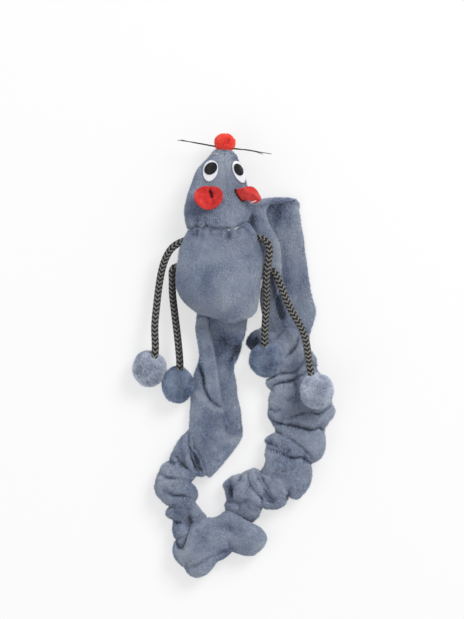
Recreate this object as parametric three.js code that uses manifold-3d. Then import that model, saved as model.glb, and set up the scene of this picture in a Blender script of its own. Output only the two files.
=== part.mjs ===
// Plush catnip mouse that lies on its back: a stuffed head and body, four limbs of braided cord
// with pompom paws, and a long sleeve of plush gathered on an elastic, with a hand loop at its end.
// Millimetres. +X is the right-hand side, +Y runs from the sleeve's lowest fold to the nose,
// and +Z points up from the floor through the belly. The origin is under the middle of the toy.

import * as THREE from 'three';
import { mergeVertices } from 'three/addons/utils/BufferGeometryUtils.js';
import Module from 'manifold-3d';

const wasm = await Module();
wasm.setup();

// Sizes that every piece shares.
const gap = 0.3;
const floorCut = 0.5;
const plushThickness = 1.4;
const overrun = 60;

// Head, body and nose.
const headLength = 34.6;
const headWidth = 31.6;
const headThickness = 25;
const bodyLength = 43.2;
const bodyWidth = 40.9;
const bodyThickness = 28;
const noseDiameter = 9.8;
const bodyAxisX = -6.44;
const headShiftX = -0.93;

// Sleeve below the body, and the loop at its end.
const sleeveDrop = 119.2;
const sleeveSpan = 84;
const sleeveThickness = 6.5;
const gatherWidth = 27.8;
const gatherThickness = 13;
const elasticDiameter = 2;
const loopLength = 68.2;
const strapWidth = 16.5;
const strapThickness = 2.8;
const loopHeadroom = 4.8;

// Limbs.
const cordDiameter = 3.4;
const pawDiameter = 15.3;

// Face.
const eyeLength = 10.4;
const eyeWidth = 6.9;
const pupilLength = 5.8;
const pupilWidth = 5;
const patchThickness = 0.7;
const earDiameter = 13;
const earThickness = 1.2;
const whiskerDiameter = 0.6;
const whiskerRise = 0.9;

// Places that follow from the sizes: the toy is centred on the origin from nose to lowest fold.
const toyLength = sleeveDrop + bodyLength + gap + headLength + gap + noseDiameter;
const bodyBaseY = sleeveDrop - toyLength / 2;
const headBaseY = bodyBaseY + bodyLength + gap;
const headTipY = headBaseY + headLength;
const headAxisX = bodyAxisX + headShiftX;
const bodyMidZ = bodyThickness / 2 - floorCut;
const headMidZ = headThickness / 2 - floorCut;

// Materials.
const plush = new THREE.MeshStandardMaterial({ color: 0x7d8a9e, roughness: 0.95, metalness: 0 });
const darkPlush = new THREE.MeshStandardMaterial({ color: 0x707d92, roughness: 0.95, metalness: 0 });
const redFelt = new THREE.MeshStandardMaterial({ color: 0xd42d2d, roughness: 0.9, metalness: 0 });
const whiteFelt = new THREE.MeshStandardMaterial({ color: 0xf1f1f3, roughness: 0.85, metalness: 0 });
const blackFelt = new THREE.MeshStandardMaterial({ color: 0x1c1d20, roughness: 0.8, metalness: 0 });
const braid = new THREE.MeshStandardMaterial({ color: 0x4a4743, roughness: 0.85, metalness: 0 });
const thread = new THREE.MeshStandardMaterial({ color: 0x24262b, roughness: 0.6, metalness: 0 });
const fibre = new THREE.MeshStandardMaterial({ color: 0xf4f3ef, roughness: 1, metalness: 0 });
const herbCloth = new THREE.MeshStandardMaterial({ color: 0x8c9a5b, roughness: 1, metalness: 0 });
const elastic = new THREE.MeshStandardMaterial({ color: 0xe6e3dc, roughness: 0.7, metalness: 0 });

const mouse = new THREE.Group();

// Helpers: solids for cutting, lofts through rings, and smooth reading of a table of shares.

function solidFrom(geometry) {
  const bare = geometry.clone();
  bare.deleteAttribute('normal');
  bare.deleteAttribute('uv');
  const merged = mergeVertices(bare);
  const vertProperties = new Float32Array(merged.attributes.position.array);
  const triVerts = new Uint32Array(merged.index.array);
  return new wasm.Manifold(new wasm.Mesh({ numProp: 3, vertProperties, triVerts }));
}

function geometryFrom(solid) {
  const mesh = solid.getMesh();
  const geometry = new THREE.BufferGeometry();
  geometry.setAttribute('position', new THREE.BufferAttribute(new Float32Array(mesh.vertProperties), 3));
  geometry.setIndex(new THREE.BufferAttribute(new Uint32Array(mesh.triVerts), 1));
  geometry.computeVertexNormals();
  return geometry;
}

function addPiece(name, solid, material) {
  const mesh = new THREE.Mesh(geometryFrom(solid), material);
  mesh.name = name;
  mouse.add(mesh);
}

function signedVolume(points, faces) {
  let volume = 0;
  for (let face = 0; face < faces.length; face += 3) {
    const a = points[faces[face]];
    const b = points[faces[face + 1]];
    const c = points[faces[face + 2]];
    volume += a.dot(b.clone().cross(c)) / 6;
  }
  return volume;
}

// A closed solid through rings that all have the same number of points, with a fan at each end.
function loft(rings) {
  const sides = rings[0].length;
  const points = rings.flat();
  const faces = [];
  for (let ring = 0; ring < rings.length - 1; ring += 1) {
    for (let side = 0; side < sides; side += 1) {
      const next = (side + 1) % sides;
      const a = ring * sides + side;
      const b = ring * sides + next;
      faces.push(a, b, a + sides, b, b + sides, a + sides);
    }
  }
  for (const end of [0, rings.length - 1]) {
    const centre = new THREE.Vector3();
    rings[end].forEach((point) => centre.addScaledVector(point, 1 / sides));
    const middle = points.push(centre) - 1;
    for (let side = 0; side < sides; side += 1) {
      const a = end * sides + side;
      const b = end * sides + (side + 1) % sides;
      faces.push(...(end === 0 ? [middle, b, a] : [middle, a, b]));
    }
  }
  if (signedVolume(points, faces) < 0) faces.reverse();
  const geometry = new THREE.BufferGeometry();
  geometry.setAttribute('position', new THREE.Float32BufferAttribute(points.flatMap((p) => p.toArray()), 3));
  geometry.setIndex(faces);
  return solidFrom(geometry);
}

// One row of a table of shares at a place between its rows. The first column orders the rows.
function readShares(table, place) {
  let row = 0;
  while (row < table.length - 2 && place > table[row + 1][0]) row += 1;
  const before = table[Math.max(row - 1, 0)];
  const from = table[row];
  const to = table[row + 1];
  const after = table[Math.min(row + 2, table.length - 1)];
  const step = to[0] - from[0];
  const t = (place - from[0]) / step;
  return from.map((value, column) => {
    const slopeIn = (to[column] - before[column]) / (to[0] - before[0]) * step;
    const slopeOut = (after[column] - value) / (after[0] - from[0]) * step;
    const cubic = 2 * value - 2 * to[column] + slopeIn + slopeOut;
    const square = -3 * value + 3 * to[column] - 2 * slopeIn - slopeOut;
    return ((cubic * t + square) * t + slopeIn) * t + value;
  });
}

// A power of the sine or cosine that squares off or sharpens a round section.
function bulge(value, power) {
  return Math.sign(value) * Math.abs(value) ** power;
}

function boxSolid(low, high) {
  const size = high.clone().sub(low);
  const box = new THREE.BoxGeometry(size.x, size.y, size.z);
  box.translate(...low.clone().addScaledVector(size, 0.5).toArray());
  return solidFrom(box);
}

const floorBlock = boxSolid(
  new THREE.Vector3(-toyLength, -toyLength, -overrun),
  new THREE.Vector3(toyLength, toyLength, 0),
);

function ballSolid(centre, diameter, sides) {
  const ball = new THREE.SphereGeometry(diameter / 2, sides, sides - 4);
  ball.rotateX(Math.PI / 2);
  ball.translate(centre.x, centre.y, centre.z);
  return solidFrom(ball);
}

function tubeSolid(points, diameter, sides, steps) {
  const outline = new THREE.Shape();
  for (let side = 0; side < sides; side += 1) {
    const angle = 2 * Math.PI * side / sides;
    const place = [diameter / 2 * Math.cos(angle), diameter / 2 * Math.sin(angle)];
    if (side === 0) outline.moveTo(...place);
    else outline.lineTo(...place);
  }
  const route = new THREE.CatmullRomCurve3(points);
  return solidFrom(new THREE.ExtrudeGeometry(outline, { extrudePath: route, steps }));
}

// Stuffed form: flat sections across Y whose left, right, front and back reaches are shares.
const stuffedSides = 20;
const stuffedRings = 12;
const frontPower = 2 / 2.2;
const backPower = 2 / 1.8;

function stuffedForm(form, grow) {
  const rings = [];
  for (let ring = 0; ring < stuffedRings; ring += 1) {
    const place = (1 - Math.cos(Math.PI * ring / (stuffedRings - 1))) / 2;
    const [, left, right, front, back] = readShares(form.shares, place);
    const y = form.baseY - grow + place * (form.length + 2 * grow);
    const lowX = form.axisX - left * form.width / 2 - grow;
    const highX = form.axisX + right * form.width / 2 + grow;
    const above = front * form.thickness / 2 + grow;
    const below = back * form.thickness / 2 + grow;
    const points = [];
    for (let side = 0; side < stuffedSides; side += 1) {
      const angle = 2 * Math.PI * side / stuffedSides;
      const power = Math.sin(angle) > 0 ? frontPower : backPower;
      const x = (lowX + highX) / 2 + (highX - lowX) / 2 * bulge(Math.cos(angle), power);
      const z = form.midZ + (Math.sin(angle) > 0 ? above : below) * bulge(Math.sin(angle), power);
      points.push(new THREE.Vector3(x, y, z));
    }
    rings.push(points);
  }
  return loft(rings);
}

// Body: a pear-shaped bag of two plush panels sewn along its sides, stuffed, with a pouch of herb.
const bodyShares = [
  [0, -0.045, 0.409, 0.3, 0.25],
  [0.032, 0.136, 0.659, 0.45, 0.38],
  [0.09, 0.516, 0.818, 0.62, 0.56],
  [0.215, 0.834, 0.893, 0.85, 0.82],
  [0.366, 0.977, 0.932, 0.98, 1],
  [0.516, 0.993, 0.977, 1, 1],
  [0.69, 0.955, 1.016, 0.96, 0.97],
  [0.892, 0.834, 0.875, 0.84, 0.86],
  [0.96, 0.761, 0.75, 0.75, 0.78],
  [1, 0.705, 0.659, 0.66, 0.7],
];
const bodyForm = {
  shares: bodyShares,
  baseY: bodyBaseY,
  length: bodyLength,
  width: bodyWidth,
  thickness: bodyThickness,
  axisX: bodyAxisX,
  midZ: bodyMidZ,
};
const bodySkin = stuffedForm(bodyForm, 0).subtract(floorBlock);
const bodyInside = stuffedForm(bodyForm, -plushThickness);
const bodyKeepOut = stuffedForm(bodyForm, gap);
const bodyShell = bodySkin.subtract(bodyInside);
const frontHalf = boxSolid(
  new THREE.Vector3(-toyLength, -toyLength, bodyMidZ + gap / 2),
  new THREE.Vector3(toyLength, toyLength, bodyMidZ + overrun),
);
const backHalf = boxSolid(
  new THREE.Vector3(-toyLength, -toyLength, bodyMidZ - overrun),
  new THREE.Vector3(toyLength, toyLength, bodyMidZ - gap / 2),
);
addPiece('body_front_panel', bodyShell.intersect(frontHalf), plush);
addPiece('body_back_panel', bodyShell.intersect(backHalf), plush);

const pouchLength = 22;
const pouchDiameter = 9;
const pouchSetback = 3.6;
const pouchBaseY = bodyBaseY + plushThickness + gap + pouchSetback;

// A round-ended pouch that lies along Y, grown by a clearance for the pocket that holds it.
function pouchSolid(grow, endY) {
  const start = new THREE.Vector3(bodyAxisX, pouchBaseY, bodyMidZ);
  const finish = new THREE.Vector3(bodyAxisX, endY, bodyMidZ);
  const barrel = tubeSolid([start, finish], pouchDiameter + 2 * grow, 16, 1);
  const tip = ballSolid(finish, pouchDiameter + 2 * grow, 16);
  return barrel.add(tip);
}

const pouchTipY = pouchBaseY + pouchLength - pouchDiameter / 2;
const pocketMouth = tubeSolid(
  [
    new THREE.Vector3(bodyAxisX, bodyBaseY - overrun, bodyMidZ),
    new THREE.Vector3(bodyAxisX, pouchBaseY + gap, bodyMidZ),
  ],
  pouchDiameter + 2 * gap,
  16,
  1,
);
const bodyFibre = stuffedForm(bodyForm, -plushThickness - gap);
addPiece('body_filling', bodyFibre.subtract(pouchSolid(gap, pouchTipY)).subtract(pocketMouth), fibre);
addPiece('catnip_pouch', pouchSolid(0, pouchTipY), herbCloth);

// Head: a cone of two plush panels with a seam from the nose down the middle, stuffed.
const headShares = [
  [0, 0.853, 0.853, 0.8, 0.82],
  [0.045, 0.926, 0.912, 0.88, 0.92],
  [0.227, 1, 1, 1, 1],
  [0.375, 0.941, 0.956, 0.96, 0.99],
  [0.617, 0.735, 0.838, 0.8, 0.86],
  [0.773, 0.594, 0.706, 0.64, 0.68],
  [0.9, 0.324, 0.603, 0.5, 0.46],
  [0.981, 0.132, 0.529, 0.42, 0.34],
  [1, 0.059, 0.456, 0.36, 0.28],
];
const headForm = {
  shares: headShares,
  baseY: headBaseY,
  length: headLength,
  width: headWidth,
  thickness: headThickness,
  axisX: headAxisX,
  midZ: headMidZ,
};
const headSkin = stuffedForm(headForm, 0).subtract(floorBlock);
const headShell = headSkin.subtract(stuffedForm(headForm, -plushThickness));
const headSeamShare = 0.12;
const seamX = headAxisX + headWidth * headSeamShare;
const leftHalf = boxSolid(
  new THREE.Vector3(seamX - overrun, headBaseY - overrun, -overrun),
  new THREE.Vector3(seamX - gap / 2, headTipY + overrun, overrun),
);
const rightHalf = boxSolid(
  new THREE.Vector3(seamX + gap / 2, headBaseY - overrun, -overrun),
  new THREE.Vector3(seamX + overrun, headTipY + overrun, overrun),
);
addPiece('head_left_panel', headShell.intersect(leftHalf), plush);
addPiece('head_right_panel', headShell.intersect(rightHalf), plush);
addPiece('head_filling', stuffedForm(headForm, -plushThickness - gap), fibre);

// Nose: a red pompom on the tip of the snout, with two whisker threads drawn through its base.
const noseAcrossShare = 0.2;
const noseRiseShare = 0.05;
const noseCentre = new THREE.Vector3(
  headAxisX + noseAcrossShare * headWidth / 2,
  headTipY + gap + noseDiameter / 2,
  headMidZ + noseRiseShare * headThickness,
);
const whiskerShares = [
  [[-1, 0.36], [-0.5, 0.17], [0, 0], [0.5, -0.13], [0.82, -0.29]],
  [[-0.91, 0.3], [-0.45, 0.14], [0, 0], [0.55, -0.2], [1, -0.36]],
];
const whiskerReach = 21.6;
const whiskerFanShare = 0.42;
const whiskerBackShare = 0.24;

function whiskerSolid(row, diameter) {
  const side = row === 0 ? 1 : -1;
  const points = whiskerShares[row].map(([across, along]) => new THREE.Vector3(
    noseCentre.x + across * whiskerReach,
    noseCentre.y - whiskerBackShare * noseDiameter + along * whiskerReach * whiskerFanShare,
    noseCentre.z + side * whiskerRise,
  ));
  return tubeSolid(points, diameter, 6, 12);
}

const tunnelDiameter = whiskerDiameter + 2 * gap;
const noseTunnels = whiskerSolid(0, tunnelDiameter).add(whiskerSolid(1, tunnelDiameter));
addPiece('nose_pompom', ballSolid(noseCentre, noseDiameter, 16).subtract(noseTunnels), redFelt);
addPiece('whisker_thread_upper', whiskerSolid(0, whiskerDiameter), thread);
addPiece('whisker_thread_lower', whiskerSolid(1, whiskerDiameter), thread);

// Eyes: a white oval and a black oval on each side of the seam, both laid on the curve of the head.
const faceRiseShare = 0.125;

function headPatch(centre, width, length, lean, lift) {
  const oval = new THREE.Shape();
  oval.absellipse(0, 0, width / 2, length / 2, 0, 2 * Math.PI, false, 0);
  const prism = new THREE.ExtrudeGeometry(oval, {
    depth: headThickness,
    bevelEnabled: false,
    curveSegments: 10,
  });
  prism.rotateZ(lean);
  prism.translate(centre.x, centre.y, headMidZ + faceRiseShare * headThickness);
  return solidFrom(prism)
    .intersect(stuffedForm(headForm, lift + patchThickness))
    .subtract(stuffedForm(headForm, lift));
}

const eyes = [
  { side: 'left', acrossShare: -0.22, pupilShare: -0.2, alongShare: 0.765, lean: -0.2 },
  { side: 'right', acrossShare: 0.63, pupilShare: 0.6, alongShare: 0.75, lean: 0.42 },
];
const pupilRise = 1.1;
for (const eye of eyes) {
  const centre = new THREE.Vector2(
    headAxisX + eye.acrossShare * headWidth / 2,
    headBaseY + eye.alongShare * headLength,
  );
  const pupilCentre = new THREE.Vector2(
    headAxisX + eye.pupilShare * headWidth / 2,
    centre.y + pupilRise,
  );
  const white = headPatch(centre, eyeWidth, eyeLength, eye.lean, gap);
  const pupil = headPatch(pupilCentre, pupilWidth, pupilLength, eye.lean, 2 * gap + patchThickness);
  addPiece(`eye_white_${eye.side}`, white, whiteFelt);
  addPiece(`eye_pupil_${eye.side}`, pupil, blackFelt);
}

// Ears: red felt discs, dished by the stitch at their middle. The right one stands on its edge.
const earProfileShares = [
  [0, 0, 0], [0.55, 0.066, 0], [1, 0.22, 0], [1, 0.22, 1], [0.5, 0.066, 1], [0, 0, 1],
];
const earWidthShare = 1.05;
const earLengthShare = 0.92;
const ears = [
  { side: 'left', acrossShare: -0.29, alongShare: 0.4, riseShare: 0.49, tilt: [-0.12, -0.12, 0] },
  { side: 'right', acrossShare: 0.86, alongShare: 0.45, riseShare: 0.3, tilt: [0.95, 0.62, -0.35] },
];
const headKeepOut = stuffedForm(headForm, gap);
for (const ear of ears) {
  const radius = earDiameter / 2;
  const profile = earProfileShares.map(([out, dish, face]) => (
    new THREE.Vector2(out * radius, dish * radius + face * earThickness)
  ));
  const disc = new THREE.LatheGeometry(profile, 20);
  disc.rotateX(Math.PI / 2);
  disc.scale(earWidthShare, earLengthShare, 1);
  disc.applyMatrix4(new THREE.Matrix4().makeRotationFromEuler(new THREE.Euler(...ear.tilt)));
  disc.translate(
    headAxisX + ear.acrossShare * headWidth / 2,
    headBaseY + ear.alongShare * headLength,
    headMidZ + ear.riseShare * headThickness,
  );
  addPiece(`ear_${ear.side}`, solidFrom(disc).subtract(headKeepOut), redFelt);
}

// Limbs: a length of braided cord out of the side of the body to a pompom paw. Each route runs from
// the root, outside the side seam, to the middle of the paw, and the paw cuts it off at its surface.
const limbs = {
  arm_left: [
    [-25.4, 53.1, 13.4], [-29.9, 50.2, 12.6], [-32.6, 45.3, 11], [-33.9, 40, 9.6],
    [-35, 33.2, 9], [-35.9, 24.3, 9.2], [-36.5, 13.7, 10.6], [-37.2, 3, 12], [-38.9, -3, 10.5],
    [-39.6, -5.9, 7.15],
  ],
  leg_left: [
    [-29.1, 41.4, 13.4], [-29.3, 34.6, 12.4], [-29, 28.5, 11], [-28.2, 21.1, 9.8],
    [-27.3, 13.7, 9.6], [-26.3, 5, 10.4], [-25.6, -4, 12.2], [-25.9, -10.5, 10.5],
    [-26.2, -13.7, 7.15],
  ],
  arm_right: [
    [13.4, 55.2, 14.2], [16.6, 52.8, 16.2], [17, 48.5, 17], [16.6, 44.2, 17.2],
    [15.9, 39.6, 16.9], [15.4, 33, 15.7], [15.2, 25.6, 14.1], [14.7, 17, 12.7],
    [14.3, 9.6, 11.8], [14.4, 4, 10.4], [14.9, -2.2, 7.15],
  ],
  leg_right: [
    [16.3, 40.4, 12.7], [19.9, 39.9, 12.7], [21.9, 36.8, 12.8], [23.4, 32.2, 13],
    [25.2, 26.6, 13.2], [28, 20.2, 13.6], [31.7, 13.8, 14.6], [34.1, 7, 16.4],
    [35.1, -0.5, 19], [36.4, -8.5, 21.8], [38.4, -16.4, 21.3],
  ],
};
const pawFlats = { arm_left: true, leg_left: true, arm_right: true, leg_right: false };
const pawGuards = [];
for (const [name, places] of Object.entries(limbs)) {
  const points = places.map((place) => new THREE.Vector3(...place));
  const root = points[0];
  const pawCentre = points[points.length - 1];
  const pawGuard = ballSolid(pawCentre, pawDiameter + 2 * gap, 16);
  pawGuards.push(pawGuard);
  const cord = tubeSolid(points, cordDiameter, 8, 15).add(ballSolid(root, cordDiameter, 8));
  const paw = ballSolid(pawCentre, pawDiameter, 16);
  addPiece(`${name}_cord`, cord.subtract(pawGuard).subtract(bodyKeepOut), braid);
  addPiece(`${name}_pompom`, pawFlats[name] ? paw.subtract(floorBlock) : paw, plush);
}

// Sleeve: one tube of plush. It leaves the seam at the bottom of the body as a flat, rolled strip,
// and from there to the hand loop an elastic inside it draws it up into puffs. Places are shares of
// how far it hangs below the body and of how wide it spans.
const sleeveX = (share) => bodyAxisX + share * sleeveSpan;
const sleeveY = (share) => bodyBaseY + share * sleeveDrop;

// Flat strip: across shares are the left edge, the right edge and the edge of the rolled flap,
// then the height of the flap and of the cloth beside it, and how far the strip is lifted.
const stripShares = [
  [0, -0.124, 0.149, -0.069, 1.1, 1, 0.75],
  [0.06, -0.13, 0.144, -0.064, 1.1, 0.9, 0.45],
  [0.19, -0.124, 0.128, -0.033, 1.05, 0.7, 0.1],
  [0.28, -0.115, 0.094, -0.017, 1, 0.65, 0],
  [0.325, -0.133, 0.084, -0.008, 1, 0.65, 0],
  [0.395, -0.152, 0.084, 0, 1, 0.65, 0],
  [0.46, -0.16, 0.088, 0.006, 1, 0.7, 0],
  [0.55, -0.166, 0.099, 0.006, 1.05, 0.85, 0],
  [0.71, -0.17, 0.124, 0.006, 1.3, 1.15, 0],
  [0.775, -0.16, 0.105, 0.006, 1.55, 1.35, 0],
  [0.835, -0.138, 0.069, 0, 1.65, 1.45, 0],
  [0.925, -0.11, 0.006, -0.044, 1.6, 1.5, 0],
  [1, -0.083, -0.066, -0.075, 1.2, 1.15, 0],
];
const stripTopShare = 0.045;
const stripEndShare = -0.606;
const stripRings = 22;
const stripStep = 0.8;

// Corners of the strip's section: the first column goes from its left edge to its right edge, the
// second says which height the corner follows, and the third is its share of that height.
const stripCornerShares = [
  ['left', 'flap', 0.45], ['leftRound', 'flap', 0.8], ['leftTop', 'flap', 1], ['flapMiddle', 'flap', 1.03],
  ['flapTop', 'flap', 0.97], ['flapFoot', 'cloth', 1.12], ['flapSide', 'cloth', 0.97],
  ['clothMiddle', 'cloth', 1.03], ['rightTop', 'cloth', 1], ['rightRound', 'cloth', 0.8],
  ['right', 'cloth', 0.45], ['rightFoot', 'cloth', 0], ['middle', 'cloth', 0], ['leftFoot', 'cloth', 0],
];
const stripRoundShare = 0.3;
const stripFootShare = 0.6;

function stripForm(grow) {
  const rings = [];
  for (let ring = 0; ring <= stripRings; ring += 1) {
    const place = ring / stripRings;
    const [, left, right, flap, high, low, lift] = readShares(stripShares, place);
    const y = sleeveY(stripTopShare + place * (stripEndShare - stripTopShare)) + grow * (1 - 2 * place);
    const heights = { flap: high * sleeveThickness + grow, cloth: low * sleeveThickness + grow };
    const base = lift * sleeveThickness - floorCut;
    const lowX = sleeveX(left) - grow;
    const highX = sleeveX(right) + grow;
    const edge = Math.min(sleeveThickness / 3, (highX - lowX) / 6);
    const flapX = sleeveX(flap) + grow;
    const places = {
      left: lowX,
      leftRound: lowX + edge * stripRoundShare,
      leftTop: lowX + edge,
      flapMiddle: (lowX + edge + flapX - stripStep) / 2,
      flapTop: flapX - stripStep,
      flapFoot: flapX,
      flapSide: flapX + stripStep / 2,
      clothMiddle: (flapX + stripStep + highX - edge) / 2,
      rightTop: highX - edge,
      rightRound: highX - edge * stripRoundShare,
      right: highX,
      rightFoot: highX - edge * stripFootShare,
      middle: (lowX + highX) / 2,
      leftFoot: lowX + edge * stripFootShare,
    };
    rings.push(stripCornerShares.map(([corner, height, share]) => (
      new THREE.Vector3(places[corner], y, base + share * heights[height])
    )));
  }
  return loft(rings);
}

// Gathered run: rings along a route in the plane of the floor. The puffs are a wave along the run
// that reaches one edge sooner than the other, so that the folds lie slanting.
const clothPower = 0.85;

function gatherForm(run, grow) {
  const route = new THREE.CatmullRomCurve3(
    run.shares.map(([x, y]) => new THREE.Vector3(sleeveX(x), sleeveY(y), 0)),
  );
  const widthTable = run.shares.map(([, , width, height], row) => [row, width, height]);
  const rings = [];
  for (let ring = 0; ring <= run.rings; ring += 1) {
    const place = ring / run.rings;
    const centre = route.getPoint(place);
    const heading = route.getTangent(place);
    const across = new THREE.Vector3(heading.y, -heading.x, 0);
    if (ring === 0) centre.addScaledVector(heading, -grow);
    if (ring === run.rings) centre.addScaledVector(heading, grow);
    const [, width, height] = readShares(widthTable, place * (run.shares.length - 1));
    const points = [];
    for (let side = 0; side < run.sides; side += 1) {
      const angle = 2 * Math.PI * side / run.sides;
      const wave = Math.cos(2 * Math.PI * run.puffs * place + run.phase + run.slant * Math.cos(angle));
      const puff = 1 + run.depth * wave;
      const reach = width * gatherWidth / 2 * puff + grow;
      const rise = height * gatherThickness / 2 * puff + grow;
      const point = centre.clone().addScaledVector(across, reach * bulge(Math.cos(angle), clothPower));
      point.z = gatherThickness / 2 * height - floorCut + rise * bulge(Math.sin(angle), clothPower);
      points.push(point);
    }
    rings.push(points);
  }
  return loft(rings);
}

const leftRun = {
  shares: [
    [-0.125, -0.435, 0.3, 0.55], [-0.143, -0.49, 0.46, 0.65], [-0.175, -0.54, 0.6, 0.85],
    [-0.222, -0.595, 0.64, 1], [-0.246, -0.655, 0.68, 1], [-0.232, -0.701, 0.58, 0.95],
    [-0.204, -0.744, 0.55, 0.9], [-0.182, -0.785, 0.5, 0.85],
  ],
  rings: 18,
  sides: 14,
  puffs: 3,
  phase: 2.4,
  slant: 0.6,
  depth: 0.07,
};
const rightRun = {
  shares: [
    [0.112, -0.775, 0.56, 0.9], [0.148, -0.71, 0.62, 0.95], [0.225, -0.655, 0.68, 0.95],
    [0.345, -0.6, 0.9, 1], [0.408, -0.528, 0.96, 1], [0.433, -0.448, 0.98, 1],
    [0.455, -0.37, 1.03, 1], [0.45, -0.292, 0.98, 0.95], [0.446, -0.222, 0.76, 0.9],
    [0.448, -0.156, 0.56, 0.8], [0.437, -0.115, 0.48, 0.65], [0.42, -0.075, 0.5, 0.45],
  ],
  rings: 38,
  sides: 14,
  puffs: 6.5,
  phase: 2.2,
  slant: 0.7,
  depth: 0.07,
};

// Lowest fold: the slack of the tube laid over itself, with a smooth lobe to each side.
const foldShares = [
  [0, -0.834, -0.873, 0.5],
  [0.03, -0.791, -0.912, 0.75],
  [0.13, -0.776, -0.963, 0.95],
  [0.26, -0.768, -1, 1],
  [0.375, -0.762, -0.972, 1],
  [0.47, -0.756, -0.939, 0.92],
  [0.63, -0.756, -0.9, 0.88],
  [0.77, -0.768, -0.912, 0.92],
  [0.85, -0.783, -0.916, 0.88],
  [0.95, -0.807, -0.892, 0.7],
  [1, -0.838, -0.865, 0.4],
];
const foldLeftShare = -0.262;
const foldRightShare = 0.259;
const foldRings = 14;
const foldSides = 14;

function foldForm(grow) {
  const rings = [];
  for (let ring = 0; ring <= foldRings; ring += 1) {
    const place = (1 - Math.cos(Math.PI * ring / foldRings)) / 2;
    const [, upper, lower, height] = readShares(foldShares, place);
    const spread = sleeveX(foldRightShare) - sleeveX(foldLeftShare) + 2 * grow;
    const x = sleeveX(foldLeftShare) - grow + place * spread;
    const highY = sleeveY(upper) + grow;
    const lowY = sleeveY(lower) - grow;
    const rise = height * gatherThickness / 2;
    const points = [];
    for (let side = 0; side < foldSides; side += 1) {
      const angle = 2 * Math.PI * side / foldSides;
      const y = (highY + lowY) / 2 + (highY - lowY) / 2 * bulge(Math.cos(angle), clothPower);
      const z = rise - floorCut + (rise + grow) * bulge(Math.sin(angle), clothPower);
      points.push(new THREE.Vector3(x, y, z));
    }
    rings.push(points);
  }
  return loft(rings);
}

// Elastic: one round elastic along the inside of the gathers, here in two lengths that meet where
// the right-hand run turns on the lowest fold.
const elasticRiseShare = 0.42;
const elasticShares = [
  [-0.185, -0.55], [-0.217, -0.59], [-0.246, -0.655], [-0.232, -0.701],
  [-0.204, -0.744], [-0.172, -0.8], [-0.09, -0.845], [0, -0.845], [0.09, -0.82], [0.13, -0.765],
  [0.142, -0.69], [0.227, -0.639], [0.337, -0.588], [0.4, -0.522], [0.425, -0.448],
  [0.448, -0.37], [0.442, -0.292], [0.44, -0.222], [0.442, -0.16],
];
const elasticSteps = 42;
const elasticRoute = elasticShares.map(([across, along]) => (
  new THREE.Vector3(sleeveX(across), sleeveY(along), elasticRiseShare * gatherThickness)
));
const elasticWhole = tubeSolid(elasticRoute, elasticDiameter, 6, elasticSteps);
const elasticRoom = tubeSolid(elasticRoute, elasticDiameter + 2 * gap, 6, elasticSteps);
const turnShare = -0.8;
const turnSideShare = 0.04;
const turnY = sleeveY(turnShare);

// The part of space that holds the upper length of elastic, from a little beyond where it starts.
function upperSide(start) {
  return boxSolid(
    new THREE.Vector3(sleeveX(turnSideShare), start, -overrun),
    new THREE.Vector3(toyLength, toyLength, overrun),
  );
}

const foldSolid = foldForm(0).subtract(floorBlock).subtract(elasticRoom);
const stripSolid = pawGuards.reduce((solid, guard) => solid.subtract(guard), stripForm(0))
  .subtract(floorBlock)
  .subtract(bodyKeepOut);
const leftSolid = gatherForm(leftRun, 0)
  .subtract(floorBlock)
  .subtract(foldForm(gap))
  .subtract(stripForm(gap))
  .subtract(elasticRoom);
const rightSolid = gatherForm(rightRun, 0)
  .subtract(floorBlock)
  .subtract(foldForm(gap))
  .subtract(elasticRoom);
addPiece('sleeve_flat_strip', stripSolid, plush);
addPiece('sleeve_gather_left', leftSolid, plush);
addPiece('sleeve_lowest_fold', foldSolid, plush);
addPiece('sleeve_gather_right', rightSolid, plush);
addPiece('elastic_lower', elasticWhole.subtract(upperSide(turnY - gap / 2)), elastic);
addPiece('elastic_upper', elasticWhole.intersect(upperSide(turnY + gap / 2)), elastic);

// Hand loop: a flat strap of doubled plush. It lies on the floor beside the body, turns over at the
// level of the head and comes back above itself, and both ends are sewn into the sleeve.
const loopSideShare = 0.409;
const loopEndShare = -0.09;
const loopX = (share) => sleeveX(loopSideShare) + share * strapWidth;
const loopY = (share) => sleeveY(loopEndShare) + share * loopLength;
const backStrapShares = [
  [0, 0, 0.7],
  [0.148, 0.081, 0.93],
  [0.241, 0.11, 0.975],
  [0.331, 0.028, 0.98],
  [0.534, -0.1, 0.985],
  [0.686, -0.197, 0.99],
  [0.883, -0.31, 1],
  [0.95, -0.36, 1],
];
const frontStrapShares = [
  [0.95, -0.8, 1, 0.64, 1],
  [0.862, -0.89, 1, 0.5, 1],
  [0.786, -0.85, 1, 0.56, 1],
  [0.686, -0.68, 1, 0.59, 1],
  [0.586, -0.584, 1, 0.49, 1],
  [0.458, -0.584, 1, 0.48, 1],
  [0.297, -0.676, 0.85, 0.31, 1.3],
  [0.159, -0.676, 0.62, 0.31, 1.5],
  [0.034, -0.56, 0.45, 0.34, 1.5],
];
const strapCornerShares = [
  [-1, -0.5], [-1, 0.5], [-0.85, 1], [0.85, 1], [1, 0.5], [1, -0.5], [0.85, -1], [-0.85, -1],
];
const turnSteps = 5;

function strapRing(centre, heading, halfWidth, halfThickness) {
  const across = new THREE.Vector3(1, 0, 0);
  const normal = heading.clone().cross(across).normalize();
  return strapCornerShares.map(([side, face]) => centre.clone()
    .addScaledVector(across, side * halfWidth)
    .addScaledVector(normal, face * halfThickness));
}

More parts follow.
